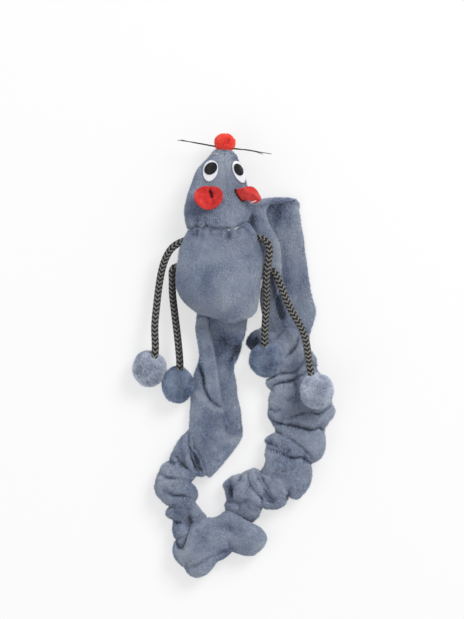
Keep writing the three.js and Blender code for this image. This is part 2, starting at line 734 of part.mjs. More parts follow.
function loopSolid() {
  const half = strapThickness / 2;
  const rise = strapThickness + loopHeadroom;
  const stations = backStrapShares.map(([along, across, width]) => ({
    centre: new THREE.Vector3(loopX(across), loopY(along), half),
    width: width * strapWidth / 2,
    thickness: half,
  }));
  const backTop = backStrapShares[backStrapShares.length - 1];
  const frontTop = frontStrapShares[0];
  for (let step = 1; step < turnSteps; step += 1) {
    const place = step / turnSteps;
    const angle = Math.PI * place;
    const across = backTop[1] + (frontTop[1] - backTop[1]) * place;
    const width = backTop[2] + (frontTop[3] - backTop[2]) * place;
    stations.push({
      centre: new THREE.Vector3(
        loopX(across),
        loopY(backTop[0]) + rise / 2 * Math.sin(angle),
        half + rise / 2 * (1 - Math.cos(angle)),
      ),
      width: width * strapWidth / 2,
      thickness: half,
    });
  }
  for (const [along, across, height, width, thickness] of frontStrapShares) {
    stations.push({
      centre: new THREE.Vector3(loopX(across), loopY(along), half + rise * height),
      width: width * strapWidth / 2,
      thickness: half * thickness,
    });
  }
  const rings = stations.map((station, index) => {
    const before = stations[Math.max(index - 1, 0)].centre;
    const after = stations[Math.min(index + 1, stations.length - 1)].centre;
    const heading = after.clone().sub(before);
    return strapRing(station.centre, heading, station.width, station.thickness);
  });
  return loft(rings);
}

const loopCut = [gatherForm(rightRun, gap), bodyKeepOut, headKeepOut]
  .reduce((solid, neighbour) => solid.subtract(neighbour), loopSolid());
addPiece('hand_loop', loopCut, darkPlush);

export default mouse;
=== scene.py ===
# Plush catnip mouse, lying on its back: stuffed head and body, felt eyes and ears, four braided cord
# limbs with pompom paws, and a long sleeve drawn up on an elastic that ends in a hand loop.
# Metres, +X to the right, +Y towards the nose, +Z up through the belly.

import math
from functools import partial

import bmesh
import bpy
import numpy as np
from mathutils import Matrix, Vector, noise
from mathutils.bvhtree import BVHTree


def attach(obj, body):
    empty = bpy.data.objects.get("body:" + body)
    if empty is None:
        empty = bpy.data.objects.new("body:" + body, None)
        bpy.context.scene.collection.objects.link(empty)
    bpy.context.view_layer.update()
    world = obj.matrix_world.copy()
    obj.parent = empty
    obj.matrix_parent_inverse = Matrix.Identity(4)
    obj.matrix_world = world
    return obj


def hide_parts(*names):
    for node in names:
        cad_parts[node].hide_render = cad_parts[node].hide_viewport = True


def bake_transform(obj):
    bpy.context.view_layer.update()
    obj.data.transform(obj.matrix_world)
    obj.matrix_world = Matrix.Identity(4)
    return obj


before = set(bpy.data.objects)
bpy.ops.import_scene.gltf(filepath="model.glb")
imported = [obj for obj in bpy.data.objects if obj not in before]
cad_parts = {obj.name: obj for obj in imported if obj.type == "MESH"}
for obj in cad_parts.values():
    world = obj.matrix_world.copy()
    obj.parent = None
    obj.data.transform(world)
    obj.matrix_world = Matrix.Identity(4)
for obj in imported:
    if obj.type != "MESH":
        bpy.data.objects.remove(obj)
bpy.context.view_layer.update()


# Body: a pear-shaped bag of two plush panels, sewn along the sides and stuffed firmly. The pile is
# short and brushed down towards the sleeve, and the neck seam draws the top of the bag into puckers.

MM = 0.001
# Places that are read off the picture of the toy: pixel columns and rows, at this many metres a pixel.
PIXEL = 0.0004645
AXIS_COLUMN, AXIS_ROW = 233.87, 355.4


def spot(column, row):
    return np.array([(column - AXIS_COLUMN) * PIXEL, (AXIS_ROW - row) * PIXEL])


def spots(pairs):
    return np.array([spot(column, row) for column, row in pairs])


def read_shares(table, place):
    """Rows of a table of shares at places between its rows, read smoothly; column 0 orders the rows."""
    table, place = np.array(table, float), np.atleast_1d(np.asarray(place, float))
    row = np.clip(np.searchsorted(table[:, 0], place, side="left") - 1, 0, len(table) - 2)
    before, start = table[np.maximum(row - 1, 0)], table[row]
    end, after = table[row + 1], table[np.minimum(row + 2, len(table) - 1)]
    step = end[:, :1] - start[:, :1]
    t = (place[:, None] - start[:, :1]) / step
    slope_in = (end - before) / (end[:, :1] - before[:, :1]) * step
    slope_out = (after - start) / (after[:, :1] - start[:, :1]) * step
    cubic = 2 * start - 2 * end + slope_in + slope_out
    square = -3 * start + 3 * end - 2 * slope_in - slope_out
    return ((cubic * t + square) * t + slope_in) * t + start


def smooth_line(points, count):
    """A smooth line of count even steps through points."""
    points = np.array(points, float)
    table = np.column_stack([np.arange(len(points)), points])
    fine = read_shares(table, np.linspace(0, len(points) - 1, 24 * len(points)))[:, 1:]
    along = np.concatenate([[0], np.cumsum(np.linalg.norm(np.diff(fine, axis=0), axis=1))])
    even = np.linspace(0, along[-1], count)
    return np.column_stack([np.interp(even, along, fine[:, k]) for k in range(fine.shape[1])])


def bulge(value, power):
    return np.sign(value) * np.abs(value) ** power


def stuffed_rings(shares, base_y, length, width, thickness, axis_x, mid_z, rings, sides):
    """Rings of points across a stuffed form, from its lower end to its upper end."""
    place = (1 - np.cos(np.pi * np.arange(rings) / (rings - 1))) / 2
    _, left, right, front, back = read_shares(shares, place).T
    angle = 2 * np.pi * np.arange(sides) / sides
    cosine, sine = np.cos(angle), np.sin(angle)
    front_power, back_power = 2 / 2.2, 2 / 1.8
    power = np.where(sine > 0, front_power, back_power)
    low_x, high_x = axis_x - left * width / 2, axis_x + right * width / 2
    out = np.empty((rings, sides, 3))
    out[:, :, 0] = ((low_x + high_x) / 2)[:, None] + ((high_x - low_x) / 2)[:, None] * bulge(cosine, power)
    out[:, :, 1] = (base_y + place * length)[:, None]
    reach = np.where(sine > 0, front[:, None], back[:, None]) * thickness / 2
    out[:, :, 2] = mid_z + reach * bulge(sine, power)
    return out


def rounded_ends(rings, first, last):
    """The rings with both ends closed by domes that stand first and last beyond them."""
    steps = 7
    start, end = rings[0].mean(0), rings[-1].mean(0)
    out_start = start - rings[1].mean(0)
    out_end = end - rings[-2].mean(0)
    out_start /= np.linalg.norm(out_start)
    out_end /= np.linalg.norm(out_end)
    turn = [math.pi / 2 * step / steps for step in range(1, steps)]
    head = [start + (rings[0] - start) * math.cos(a) + out_start * first * math.sin(a) for a in turn[::-1]]
    tail = [end + (rings[-1] - end) * math.cos(a) + out_end * last * math.sin(a) for a in turn]
    return np.concatenate([np.array(head), rings, np.array(tail)])


def ring_normals(rings):
    along = np.gradient(rings, axis=0)
    around = (np.roll(rings, -1, axis=1) - np.roll(rings, 1, axis=1)) / 2
    normal = np.cross(around, along)
    normal /= np.maximum(np.linalg.norm(normal, axis=2, keepdims=True), 1e-12)
    out = rings - rings.mean(axis=1, keepdims=True)
    if (normal * out).sum() < 0:
        normal = -normal
    return normal


def line_distance(places, line):
    """How far each place is from a line in the plane, and how far along the line that is, 0 to 1."""
    best = np.full(places.shape[:-1], np.inf)
    share = np.zeros(places.shape[:-1])
    for step in range(len(line) - 1):
        a, d = line[step], line[step + 1] - line[step]
        t = np.clip(((places - a) @ d) / max(d @ d, 1e-18), 0, 1)
        away = np.linalg.norm(places - a - t[..., None] * d, axis=-1)
        nearer = away < best
        best = np.where(nearer, away, best)
        share = np.where(nearer, (step + t) / (len(line) - 1), share)
    return best, share


def smooth_step(low, high, value):
    t = np.clip((value - low) / (high - low), 0, 1)
    return t * t * (3 - 2 * t)


noise.seed_set(7)  # the creases wander the same way in every run


def creased(rings, creases, swells=(), painted_shading_and_nap_marks=()):
    """Presses creases into the upper side of a form, and raises swells on it. A crease is its line in
    picture places, its depth and its half width in millimetres, and how much of it its ends keep.
    Gives back the form, and the painted shade at each place: painted shade in a crease, and painted shade,
    painted light or a darker nap mark where a listed mark puts it, along a line or over a half width and a half
    height."""
    normal = ring_normals(rings)
    upper = smooth_step(-0.25, 0.35, normal[:, :, 2])
    push, shade_paint = np.zeros(rings.shape[:2]), np.zeros(rings.shape[:2])
    # A crease wanders a little and is deeper in some places than in others.
    loose = np.array([noise.noise_vector(Vector(p)) for p in rings.reshape(-1, 3) / (3 * MM)]).reshape(rings.shape)
    wandered = rings[:, :, :2] + 0.55 * MM * loose[:, :, :2]
    uneven = np.array([noise.noise(Vector(p)) for p in rings.reshape(-1, 3) / (4.5 * MM)]).reshape(rings.shape[:2])
    for line, depth, width, keep_start, keep_end in creases:
        away, share = line_distance(wandered, smooth_line(spots(line), 28))
        fade = np.minimum(
            keep_start + (1 - keep_start) * smooth_step(0, 0.4, share),
            keep_end + (1 - keep_end) * smooth_step(0, 0.4, 1 - share),
        )
        fade = fade * np.clip(1 + 0.9 * uneven, 0.35, 1.4)
        sharp = np.sqrt(away**2 + (0.2 * width * MM) ** 2) / (1.15 * width * MM)
        push -= depth * MM * fade * np.exp(-(sharp**1.2))
        # A crease is darkened with painted shade, more where it is deep and narrow.
        shade_amount = min(1, depth / 1.9) * min(1, 1.1 / width)
        shade_paint = np.maximum(shade_paint, shade_amount * fade * np.exp(-((away / (0.7 * width * MM)) ** 2)))
    for (column, row), radius, height in swells:
        away = np.linalg.norm(rings[:, :, :2] - spot(column, row), axis=2) / (radius * MM)
        push += height * MM * np.exp(-(away**2))
    # Each listed mark adds painted shade where its amount is above nothing and painted light where it is below; a
    # few are darker nap marks.
    for place, reach, amount in painted_shading_and_nap_marks:
        if isinstance(place, list):
            away = line_distance(rings[:, :, :2], smooth_line(spots(place), 28))[0] / (reach * PIXEL)
        else:
            away = np.linalg.norm((rings[:, :, :2] - spot(*place)) / (np.array(reach) * PIXEL), axis=2)
        shade_paint = shade_paint + amount * np.exp(-(away**2))
    return rings + normal * (push * upper)[:, :, None], shade_paint * upper


def rumpled(rings, height, size, seed):
    """Soft, uneven swells of that height over the whole form."""
    normal = ring_normals(rings)
    flat = rings.reshape(-1, 3) / size + seed * 7.31
    rise = np.array([noise.fractal(Vector(p), 1.0, 2.0, 2) for p in flat]).reshape(rings.shape[:2])
    return rings + normal * (rise * height)[:, :, None]


def on_floor(rings):
    """Nothing lies lower than the floor: the lowest part of a form spreads flat on it."""
    lowest, softness = 0.0006, 0.0007
    out = rings.copy()
    out[:, :, 2] = lowest + softness * np.logaddexp(0, (rings[:, :, 2] - lowest) / softness)
    return out


def new_object(name, data):
    piece = bpy.data.objects.new(name, data)
    bpy.context.scene.collection.objects.link(piece)
    return piece


def mesh_object(name, points, faces, material):
    mesh = bpy.data.meshes.new(name)
    mesh.from_pydata([tuple(p) for p in points], [], faces)
    mesh.materials.append(material)
    mesh.polygons.foreach_set("use_smooth", [True] * len(mesh.polygons))
    return new_object(name, mesh)


def cloth_piece(name, rings, material, nap=-1.0, shade_paint=None):
    """A closed skin over rings. Its map runs round and along it, nap says which way the pile lies, and
    the last argument gives the painted shade at each place, painted light where it is below nothing."""
    count, sides, _ = rings.shape
    points = np.concatenate([rings.reshape(-1, 3), [rings[0].mean(0)], [rings[-1].mean(0)]])
    first, last = count * sides, count * sides + 1
    faces, places = [], []
    for ring in range(count - 1):
        for side in range(sides):
            a, b = ring * sides + side, ring * sides + (side + 1) % sides
            faces.append((a, b, b + sides, a + sides))
            u, v = side / sides, (ring + 1) / (count + 1)
            du, dv = 1 / sides, 1 / (count + 1)
            places.append(((u, v), (u + du, v), (u + du, v + dv), (u, v + dv)))
    for side in range(sides):
        u, du = side / sides, 1 / sides
        other = (side + 1) % sides
        faces.append((first, other, side))
        places.append(((u + du / 2, 0), (u + du, 1 / (count + 1)), (u, 1 / (count + 1))))
        base = (count - 1) * sides
        faces.append((last, base + side, base + other))
        top = count / (count + 1)
        places.append(((u + du / 2, 1), (u, top), (u + du, top)))
    # About 4000 of the faces are enough to tell whether the skin is inside out.
    middle = points.mean(0)
    volume = 0.0
    for f in faces[:: max(1, len(faces) // 4000)]:
        for i in range(1, len(f) - 1):
            a, b, c = points[f[0]] - middle, points[f[i]] - middle, points[f[i + 1]] - middle
            volume += float(np.dot(a, np.cross(b, c)))
    if volume < 0:
        faces = [f[::-1] for f in faces]
        places = [p[::-1] for p in places]
    piece = mesh_object(name, points, faces, material)
    layer = piece.data.uv_layers.new(name="OFBake")
    layer.data.foreach_set("uv", np.array([c for f in places for c in f], np.float32).ravel())
    along = np.gradient(rings, axis=0).reshape(-1, 3)
    along /= np.maximum(np.linalg.norm(along, axis=1, keepdims=True), 1e-12)
    along = np.concatenate([along, [[0, 0, 0], [0, 0, 0]]]) * nap
    attribute = piece.data.attributes.new("nap", "FLOAT_VECTOR", "POINT")
    attribute.data.foreach_set("vector", along.astype(np.float32).ravel())
    # The painted shade is kept on the mesh, where its materials darken or lighten the colour by it.
    shade_paint = np.zeros(rings.shape[:2]) if shade_paint is None else shade_paint
    painted_shade = piece.data.attributes.new("painted_shade", "FLOAT", "POINT")
    painted_shade.data.foreach_set("value", np.append(shade_paint.ravel(), [0, 0]).astype(np.float32))
    return piece


def node_at(tree, kind, inputs=None, **settings):
    """A new node of a tree, with its settings. Each input is given a value, or the socket that feeds it."""
    node = tree.nodes.new(kind)
    for key, value in settings.items():
        setattr(node, key, value)
    for socket, value in (inputs or {}).items():
        if isinstance(value, bpy.types.NodeSocket):
            tree.links.new(value, node.inputs[socket])
        else:
            node.inputs[socket].default_value = value
    return node


def maths(tree, operation, *terms):
    """What a tree works out of values and sockets."""
    return node_at(tree, "ShaderNodeMath", dict(enumerate(terms)), operation=operation).outputs[0]


def vectors(tree, operation, first, second):
    """The same for vectors. What a vector is scaled by is a number."""
    other = "Scale" if operation == "SCALE" else 1
    return node_at(tree, "ShaderNodeVectorMath", {0: first, other: second}, operation=operation).outputs[0]


def shade_of(tree, attribute):
    return node_at(tree, "ShaderNodeAttribute", attribute_name=attribute).outputs["Fac"]


def ramp_colour(tree, shade, first, last, *between):
    """The colour at a shade, read off a ramp. Each stop of the ramp is its place and its colour."""
    ramp = node_at(tree, "ShaderNodeValToRGB", {"Fac": shade})
    elements = ramp.color_ramp.elements
    for number, (place, colour) in enumerate((first, last)):
        elements[number].position = place
        elements[number].color = (*colour, 1)
    for place, colour in between:
        elements.new(place).color = (*colour, 1)
    return ramp.outputs["Color"]


def plain_material(name, colour, roughness, specular):
    material = bpy.data.materials.new(name)
    material.use_nodes = True
    shader = material.node_tree.nodes["Principled BSDF"]
    shader.inputs["Base Color"].default_value = (*colour, 1)
    shader.inputs["Roughness"].default_value = roughness
    shader.inputs["Specular IOR Level"].default_value = specular
    return material


def fibre_material(
    name, dark, middle, light, sheen, patch=70.0, fleck=900.0, strand=0.0, bump=0.0, painted_shade_strength=0.0, tips=0.34,
    deep=0.25,
):
    """Brushed fibre: soft patches where the nap lies differently, fine flecks, a lighter tip on each
    strand where the mesh carries strands, painted shade and painted light from the mesh, as strongly
    as the material is set to take them, and a sheen at its edges."""
    material = plain_material(name, middle, 0.92, 0.15)
    tree = material.node_tree
    number = partial(maths, tree)
    shader = tree.nodes["Principled BSDF"]
    shader.inputs["Sheen Weight"].default_value = sheen
    shader.inputs["Sheen Roughness"].default_value = 0.45
    shader.inputs["Sheen Tint"].default_value = (0.86, 0.88, 0.95, 1)
    where = node_at(tree, "ShaderNodeTexCoord").outputs["Object"]
    patches = node_at(
        tree, "ShaderNodeTexNoise", {"Vector": where, "Scale": patch, "Detail": 2.5, "Roughness": 0.55},
    ).outputs["Fac"]
    flecks = node_at(tree, "ShaderNodeTexNoise", {"Vector": where, "Scale": fleck, "Detail": 2.0}).outputs["Fac"]
    shade = number("MULTIPLY_ADD", flecks, 0.44, number("MULTIPLY_ADD", patches, 1.3, -0.37))
    # Painted shade from the mesh darkens the colour, and painted light lightens it.
    shade = number("MULTIPLY_ADD", shade_of(tree, "painted_shade"), -painted_shade_strength, shade)
    if strand:
        shade = number("MULTIPLY_ADD", shade_of(tree, "tone"), strand, shade)
        shade = number("MULTIPLY_ADD", shade_of(tree, "rise"), tips, shade)
        shade = number("SUBTRACT", shade, (strand + tips) / 2)
    # The darkest colour, which the deepest painted shade reaches.
    deepest = [c * deep for c in dark]
    colour = ramp_colour(tree, shade, (0, deepest), (0.88, light), (0.5, middle), (0.2, dark))
    tree.links.new(colour, shader.inputs["Base Color"])
    if bump:
        raised = node_at(tree, "ShaderNodeBump", {"Strength": bump, "Distance": 0.0004, "Height": flecks})
        tree.links.new(raised.outputs["Normal"], shader.inputs["Normal"])
    return material


def new_tree(name, source, result, numbers):
    """An empty Geometry Nodes tree from one geometry to another, with the numbers that it is given."""
    tree = bpy.data.node_groups.new(name, "GeometryNodeTree")
    tree.interface.new_socket(source, in_out="INPUT", socket_type="NodeSocketGeometry")
    for label, value in numbers.items():
        tree.interface.new_socket(label, in_out="INPUT", socket_type="NodeSocketFloat").default_value = value
    tree.interface.new_socket(result, in_out="OUTPUT", socket_type="NodeSocketGeometry")
    return tree


def kept(tree, geometry, name, value, kind, domain):
    """The geometry with a value kept on it under a name."""
    return node_at(
        tree, "GeometryNodeStoreNamedAttribute", {"Geometry": geometry, "Name": name, "Value": value},
        data_type=kind, domain=domain,
    ).outputs["Geometry"]


def read_back(tree, name, kind):
    return node_at(tree, "GeometryNodeInputNamedAttribute", {"Name": name}, data_type=kind).outputs["Attribute"]


def any_number(tree, low, high, seed):
    """A number between low and high for each strand."""
    node = node_at(tree, "FunctionNodeRandomValue", data_type="FLOAT")
    for socket in node.inputs:
        if socket.name == "Seed":
            socket.default_value = seed
        elif socket.type == "VALUE" and socket.name in ("Min", "Max"):
            socket.default_value = low if socket.name == "Min" else high
    return next(o for o in node.outputs if o.type == "VALUE" and o.enabled)


PILE_CROWD = 8.0e6  # strands on a square metre
STRAND_WIDTH = 0.15 * MM


def pile_tree():
    """Geometry Nodes: strands set all over a cloth, leaning the way that its nap lies."""
    tree = new_tree(
        "plush_pile", "Cloth", "Pile",
        {
            "Strands per square metre": PILE_CROWD, "Strand length": 1.0 * MM, "Strand width": STRAND_WIDTH,
            "Lean": 1.2, "Ruffle": 0.4,
        },
    )
    tree.interface.new_socket("Seed", in_out="INPUT", socket_type="NodeSocketInt").default_value = 1
    tree.interface.new_socket("Material", in_out="INPUT", socket_type="NodeSocketMaterial")
    vector = partial(vectors, tree)
    given = node_at(tree, "NodeGroupInput").outputs
    spread = node_at(
        tree, "GeometryNodeDistributePointsOnFaces",
        {"Mesh": given["Cloth"], "Density": given["Strands per square metre"], "Seed": given["Seed"]},
        distribute_method="RANDOM",
    ).outputs
    strand = node_at(
        tree, "GeometryNodeMeshCone",
        {
            "Vertices": 3, "Radius Top": 0, "Radius Bottom": given["Strand width"],
            "Depth": given["Strand length"],
        },
        fill_type="NGON",
    )
    place = node_at(tree, "GeometryNodeInputPosition").outputs[0]
    height = node_at(tree, "ShaderNodeSeparateXYZ", {0: place}).outputs["Z"]
    risen = maths(tree, "DIVIDE", height, given["Strand length"])
    strand = kept(tree, strand.outputs["Mesh"], "rise", risen, "FLOAT", "POINT")
    any_way = node_at(
        tree, "FunctionNodeRandomValue", {"Min": (-1, -1, -1), "Max": (1, 1, 1)}, data_type="FLOAT_VECTOR",
    ).outputs["Value"]
    lean = vector("SCALE", read_back(tree, "nap", "FLOAT_VECTOR"), given["Lean"])
    ruffle = vector("SCALE", any_way, given["Ruffle"])
    tossed = vector("ADD", vector("ADD", spread["Normal"], lean), ruffle)
    turn = node_at(tree, "FunctionNodeAlignRotationToVector", {"Vector": tossed}, axis="Z")
    plant = node_at(
        tree, "GeometryNodeInstanceOnPoints",
        {
            "Points": spread["Points"], "Instance": strand, "Rotation": turn.outputs["Rotation"],
            "Scale": any_number(tree, 0.65, 1.2, 5),
        },
    )
    toned = kept(tree, plant.outputs["Instances"], "tone", any_number(tree, 0, 1, 9), "FLOAT", "INSTANCE")
    real = node_at(tree, "GeometryNodeRealizeInstances", {"Geometry": toned}).outputs["Geometry"]
    # The strands take the map of the cloth at their root, a little apart so that none is a bare point.
    corner = maths(tree, "MODULO", node_at(tree, "GeometryNodeInputIndex").outputs[0], 3)
    nudge = node_at(tree, "ShaderNodeCombineXYZ", {"X": read_back(tree, "rise", "FLOAT"), "Y": corner}).outputs[0]
    mapped = vector("ADD", read_back(tree, "OFBake", "FLOAT_VECTOR"), vector("SCALE", nudge, 0.004))
    pile = kept(tree, real, "OFBake", mapped, "FLOAT2", "CORNER")
    finish = node_at(tree, "GeometryNodeSetMaterial", {"Geometry": pile, "Material": given["Material"]})
    node_at(tree, "NodeGroupOutput", {"Pile": finish.outputs["Geometry"]})
    return tree


pile_nodes = pile_tree()


def made_by(tree, worker, values):
    """The mesh that a Geometry Nodes tree makes of a scratch object, which is then removed."""
    modifier = worker.modifiers.new(tree.name, "NODES")
    modifier.node_group = tree
    for item in tree.interface.items_tree:
        if item.in_out == "INPUT" and item.name in values:
            modifier[item.identifier] = values[item.name]
    mesh = bpy.data.meshes.new_from_object(worker.evaluated_get(bpy.context.evaluated_depsgraph_get()))
    bpy.data.objects.remove(worker)
    return mesh


def grown_pile(name, cloth, material, seed, **sizes):
    """The pile on a cloth, as a mesh of its own."""
    values = {"Seed": seed, "Material": material, **{k.replace("_", " "): v for k, v in sizes.items()}}
    mesh = made_by(pile_nodes, new_object("pile_worker", cloth.data.copy()), values)
    mesh.name = name
    return new_object(name, mesh)


PLUSH_DARK = (0.165, 0.215, 0.340)
PLUSH_MIDDLE = (0.330, 0.383, 0.482)
PLUSH_LIGHT = (0.515, 0.545, 0.610)
# Both plush materials take painted shade and painted light from the mesh that they lie on.
plush_ground = fibre_material(
    "plush_ground", (0.11, 0.14, 0.22), (0.25, 0.29, 0.37), (0.35, 0.39, 0.46), 0.2, painted_shade_strength=0.5, deep=0.3,
)
plush_pile = fibre_material(
    "plush_pile", PLUSH_DARK, PLUSH_MIDDLE, PLUSH_LIGHT, 1.0, patch=60, strand=0.22, tips=0.2, painted_shade_strength=0.5,
    deep=0.22,
)


def plush(name, rings, seed, nap=-1.0, shade_paint=None, **sizes):
    """A plush piece: the knitted ground, and the pile that stands on it."""
    cloth = cloth_piece(name, rings, plush_ground, nap, shade_paint)
    pile = grown_pile(name + "_pile", cloth, plush_pile, seed, **sizes)
    return cloth, pile


BODY_SHARES = [
    (0, -0.045, 0.409, 0.3, 0.25), (0.032, 0.136, 0.659, 0.45, 0.38), (0.09, 0.516, 0.818, 0.62, 0.56),
    (0.215, 0.834, 0.893, 0.85, 0.82), (0.366, 1.004, 0.932, 0.98, 1), (0.516, 1.02, 0.977, 1, 1),
    (0.69, 0.968, 1.006, 0.96, 0.97), (0.892, 0.862, 0.805, 0.84, 0.86), (0.96, 0.805, 0.69, 0.75, 0.78),
    (1, 0.765, 0.63, 0.68, 0.7),
]
BODY_BASE_Y, BODY_LENGTH, BODY_WIDTH, BODY_THICKNESS = 15.5 * MM, 43.2 * MM, 40.9 * MM, 28 * MM
BODY_X, BODY_MID_Z, BODY_HEM = -6.44 * MM, 13.5 * MM, 0.8 * MM
PILE_ROOM = 0.5 * MM  # the ground of the plush lies this far inside the outline, and its pile fills it

# How far the neck seam lies from a straight line across, by place across the picture.
NECK_ROW = 228.7
NECK_LINE = [
    (180, 233), (188, 231), (196, 228), (205, 226.4), (212.6, 228.2), (220, 228.6), (227, 227.4),
    (235.6, 228.6), (242, 224.6), (249, 221.5), (256, 220),
]
# Painted shade along that seam, on the body and on the head alike.
NECK_SHADE = [
    ((203, 226.4), (4.5, 2), 0.6), ((196.5, 229), (3.5, 2), 0.4), ((240, 226.6), (4.4, 2.6), 0.8),
    ([(213, 228.4), (222, 227.8), (228, 227.2)], 1.3, 0.5), ((250, 221.5), (4, 2), 0.3),
]


def neck_shift(rings):
    """Moves what lies near the neck up or down to the seam's real line, on the upper side."""
    line = spots(NECK_LINE)
    shift = np.interp(rings[:, :, 0], line[:, 0], line[:, 1] - spot(0, NECK_ROW)[1])
    near = 1 - smooth_step(1.5 * MM, 10 * MM, np.abs(rings[:, :, 1] - spot(0, NECK_ROW)[1]))
    upper = smooth_step(0.0, 0.014, rings[:, :, 2])
    out = rings.copy()
    out[:, :, 1] += shift * near * upper
    return out


def drawn_in(rings, seam_y, share, reach):
    """Draws a form in towards its middle at a seam across it."""
    middle = rings.mean(axis=1, keepdims=True)
    pull = share * np.exp(-(((rings[:, :, 1] - seam_y) / reach) ** 2))
    return rings + (middle - rings) * pull[:, :, None] * np.array([1, 0, 1])


body_rings = stuffed_rings(
    BODY_SHARES, BODY_BASE_Y + BODY_HEM, BODY_LENGTH - BODY_HEM, BODY_WIDTH - 2 * PILE_ROOM,
    BODY_THICKNESS - 2 * PILE_ROOM, BODY_X, BODY_MID_Z, 110, 150,
)
body_rings = rounded_ends(body_rings, 0.6 * MM, 0.3 * MM)
body_rings = drawn_in(body_rings, BODY_BASE_Y + BODY_LENGTH, 0.02, 0.7 * MM)
body_rings = neck_shift(body_rings)
body_rings, body_shade_paint = creased(
    body_rings,
    [
        ([(191, 229), (192, 233), (193, 238)], 0.65, 1.3, 1, 0.1),
        ([(197, 228), (197, 233), (196, 239)], 0.7, 1.1, 1, 0),
        ([(204, 226), (203, 232), (200, 240)], 0.8, 1.2, 1, 0),
        ([(212, 228), (211, 233), (210, 238)], 0.5, 1.1, 1, 0),
        ([(221, 228), (221, 233), (220, 237)], 0.5, 1.0, 1, 0),
        ([(229, 227), (229, 233), (228, 241)], 1.0, 1.2, 1, 0),
        ([(238, 227), (238, 231), (241, 236)], 1.1, 1.1, 1, 0),
        ([(245, 223), (247, 229), (251, 236)], 0.6, 1.1, 1, 0),
        ([(243, 254), (247, 257), (251, 259)], 0.5, 2.6, 0.2, 0.2),
        (NECK_LINE, 0.6, 0.6, 1, 1),
    ],
    [((208, 283), 4.5, -0.55), ((222, 262), 9, 0.5), ((200, 262), 6, 0.25), ((240, 285), 8, 0.3)],
    # The marks: painted shade along the neck seam and in the hollows, painted light where the body is lighter, and
    # a few darker nap marks.
    [
        ((209, 272), (6, 10), 0.3), ((203, 286), (7, 8), 0.2), ((247, 257), (7, 4), 0.25),
        ((229, 236), (4, 6), 0.35),
        *NECK_SHADE,
        ((192, 235), (4.5, 4), 0.18), ((188, 262), (7, 16), -0.16), ((238, 238), (8, 5), 0.18),
        ((226, 312), (20, 5), 0.1),
        ((240, 292), (13, 12), -0.05), ((256, 262), (5, 18), -0.12), ((225, 267), (13, 10), 0.38),
        ((230, 246), (16, 6), 0.14), ((230, 302), (16, 8), -0.08), ((246, 244), (8, 8), 0.14),
        ((229, 233), (1.6, 5), 0.12),
        ((222, 231), (5, 3), 0.2), ((214, 262), (12, 8), -0.06),
    ],
)
body_rings = on_floor(rumpled(body_rings, 0.45 * MM, 11 * MM, 1))
SEAM_DEPTH, SEAM_HALF = 0.55 * MM, 0.7 * MM
side_seam = np.exp(-(((body_rings[:, :, 2] - BODY_MID_Z) / SEAM_HALF) ** 2))
body_rings -= ring_normals(body_rings) * (SEAM_DEPTH * side_seam)[:, :, None]
body_skin, body_pile = plush("body_skin", body_rings, 11, shade_paint=body_shade_paint)
for piece in (body_skin, body_pile):
    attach(piece, "torso")
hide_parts("body_front_panel", "body_back_panel")


# Head: a cone of two plush panels with a seam from the nose down its middle, stuffed, and gathered
# where it is sewn to the body.

HEAD_SHARES = [
    (0, 0.853, 0.853, 0.8, 0.82), (0.045, 0.926, 0.912, 0.88, 0.92), (0.227, 1, 1, 1, 1),
    (0.375, 0.941, 0.956, 0.96, 0.99), (0.617, 0.765, 0.845, 0.8, 0.86), (0.773, 0.62, 0.716, 0.64, 0.68),
    (0.9, 0.35, 0.613, 0.5, 0.46), (0.981, 0.19, 0.54, 0.46, 0.34), (1, 0.15, 0.49, 0.42, 0.28),
]
HEAD_BASE_Y, HEAD_LENGTH, HEAD_WIDTH, HEAD_THICKNESS = 59.0 * MM, 34.6 * MM, 31.6 * MM, 25 * MM
HEAD_X, HEAD_MID_Z = -7.37 * MM, 12 * MM

head_rings = stuffed_rings(
    HEAD_SHARES, HEAD_BASE_Y, HEAD_LENGTH, HEAD_WIDTH - 2 * PILE_ROOM, HEAD_THICKNESS - 2 * PILE_ROOM,
    HEAD_X, HEAD_MID_Z, 100, 130,
)
head_rings = rounded_ends(head_rings, 0.3 * MM, 2.0 * MM)
head_rings = drawn_in(head_rings, HEAD_BASE_Y, 0.02, 0.7 * MM)
head_rings = neck_shift(head_rings)
head_rings, head_shade_paint = creased(
    head_rings,
    [
        ([(224.5, 150), (225.5, 163), (226.5, 180), (227.5, 198), (229, 214)], 0.35, 0.7, 1, 0),
        ([(204.5, 226), (205, 222), (207, 217)], 0.6, 1.2, 1, 0),
        ([(196, 228), (197, 223), (199, 217)], 0.6, 1.2, 1, 0),
        ([(214, 228), (215, 223), (215, 217)], 0.5, 1.2, 1, 0),
        ([(238, 227), (237, 222), (235, 215)], 0.6, 1.3, 1, 0),
        ([(243, 224), (242, 219), (240, 213)], 0.5, 1.2, 1, 0),
        ([(226, 228), (226, 224), (226, 220)], 0.5, 1.0, 1, 0),
        (NECK_LINE, 0.6, 0.6, 1, 1),
    ],
    [((210, 192), 3.0, -0.7), ((200, 215), 6, 0.35), ((236, 210), 6, 0.35)],
    # The marks: painted shade under the ears and along the neck, and painted light on the snout.
    [
        ((197, 212), (9, 12), 0.26), ((222, 221), (22, 6), 0.16), ((240, 216), (8, 7), 0.16),
        ((222, 205), (9, 9), 0.1),
        *NECK_SHADE,
        ((198, 180), (5, 12), 0.1), ((201, 214), (16, 8), 0.24), ((225, 165), (12, 16), -0.72),
        ((190, 215), (3, 12), -0.2), ((232, 192), (5, 8), 0.1),
        ((226, 200), (4, 12), -0.12), ((209, 212), (14, 4), 0.16),
    ],
)
head_rings = on_floor(rumpled(head_rings, 0.35 * MM, 9 * MM, 2))
head_skin, head_pile = plush("head_skin", head_rings, 12, shade_paint=head_shade_paint)
for piece in (head_skin, head_pile):
    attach(piece, "head")
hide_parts("head_left_panel", "head_right_panel")
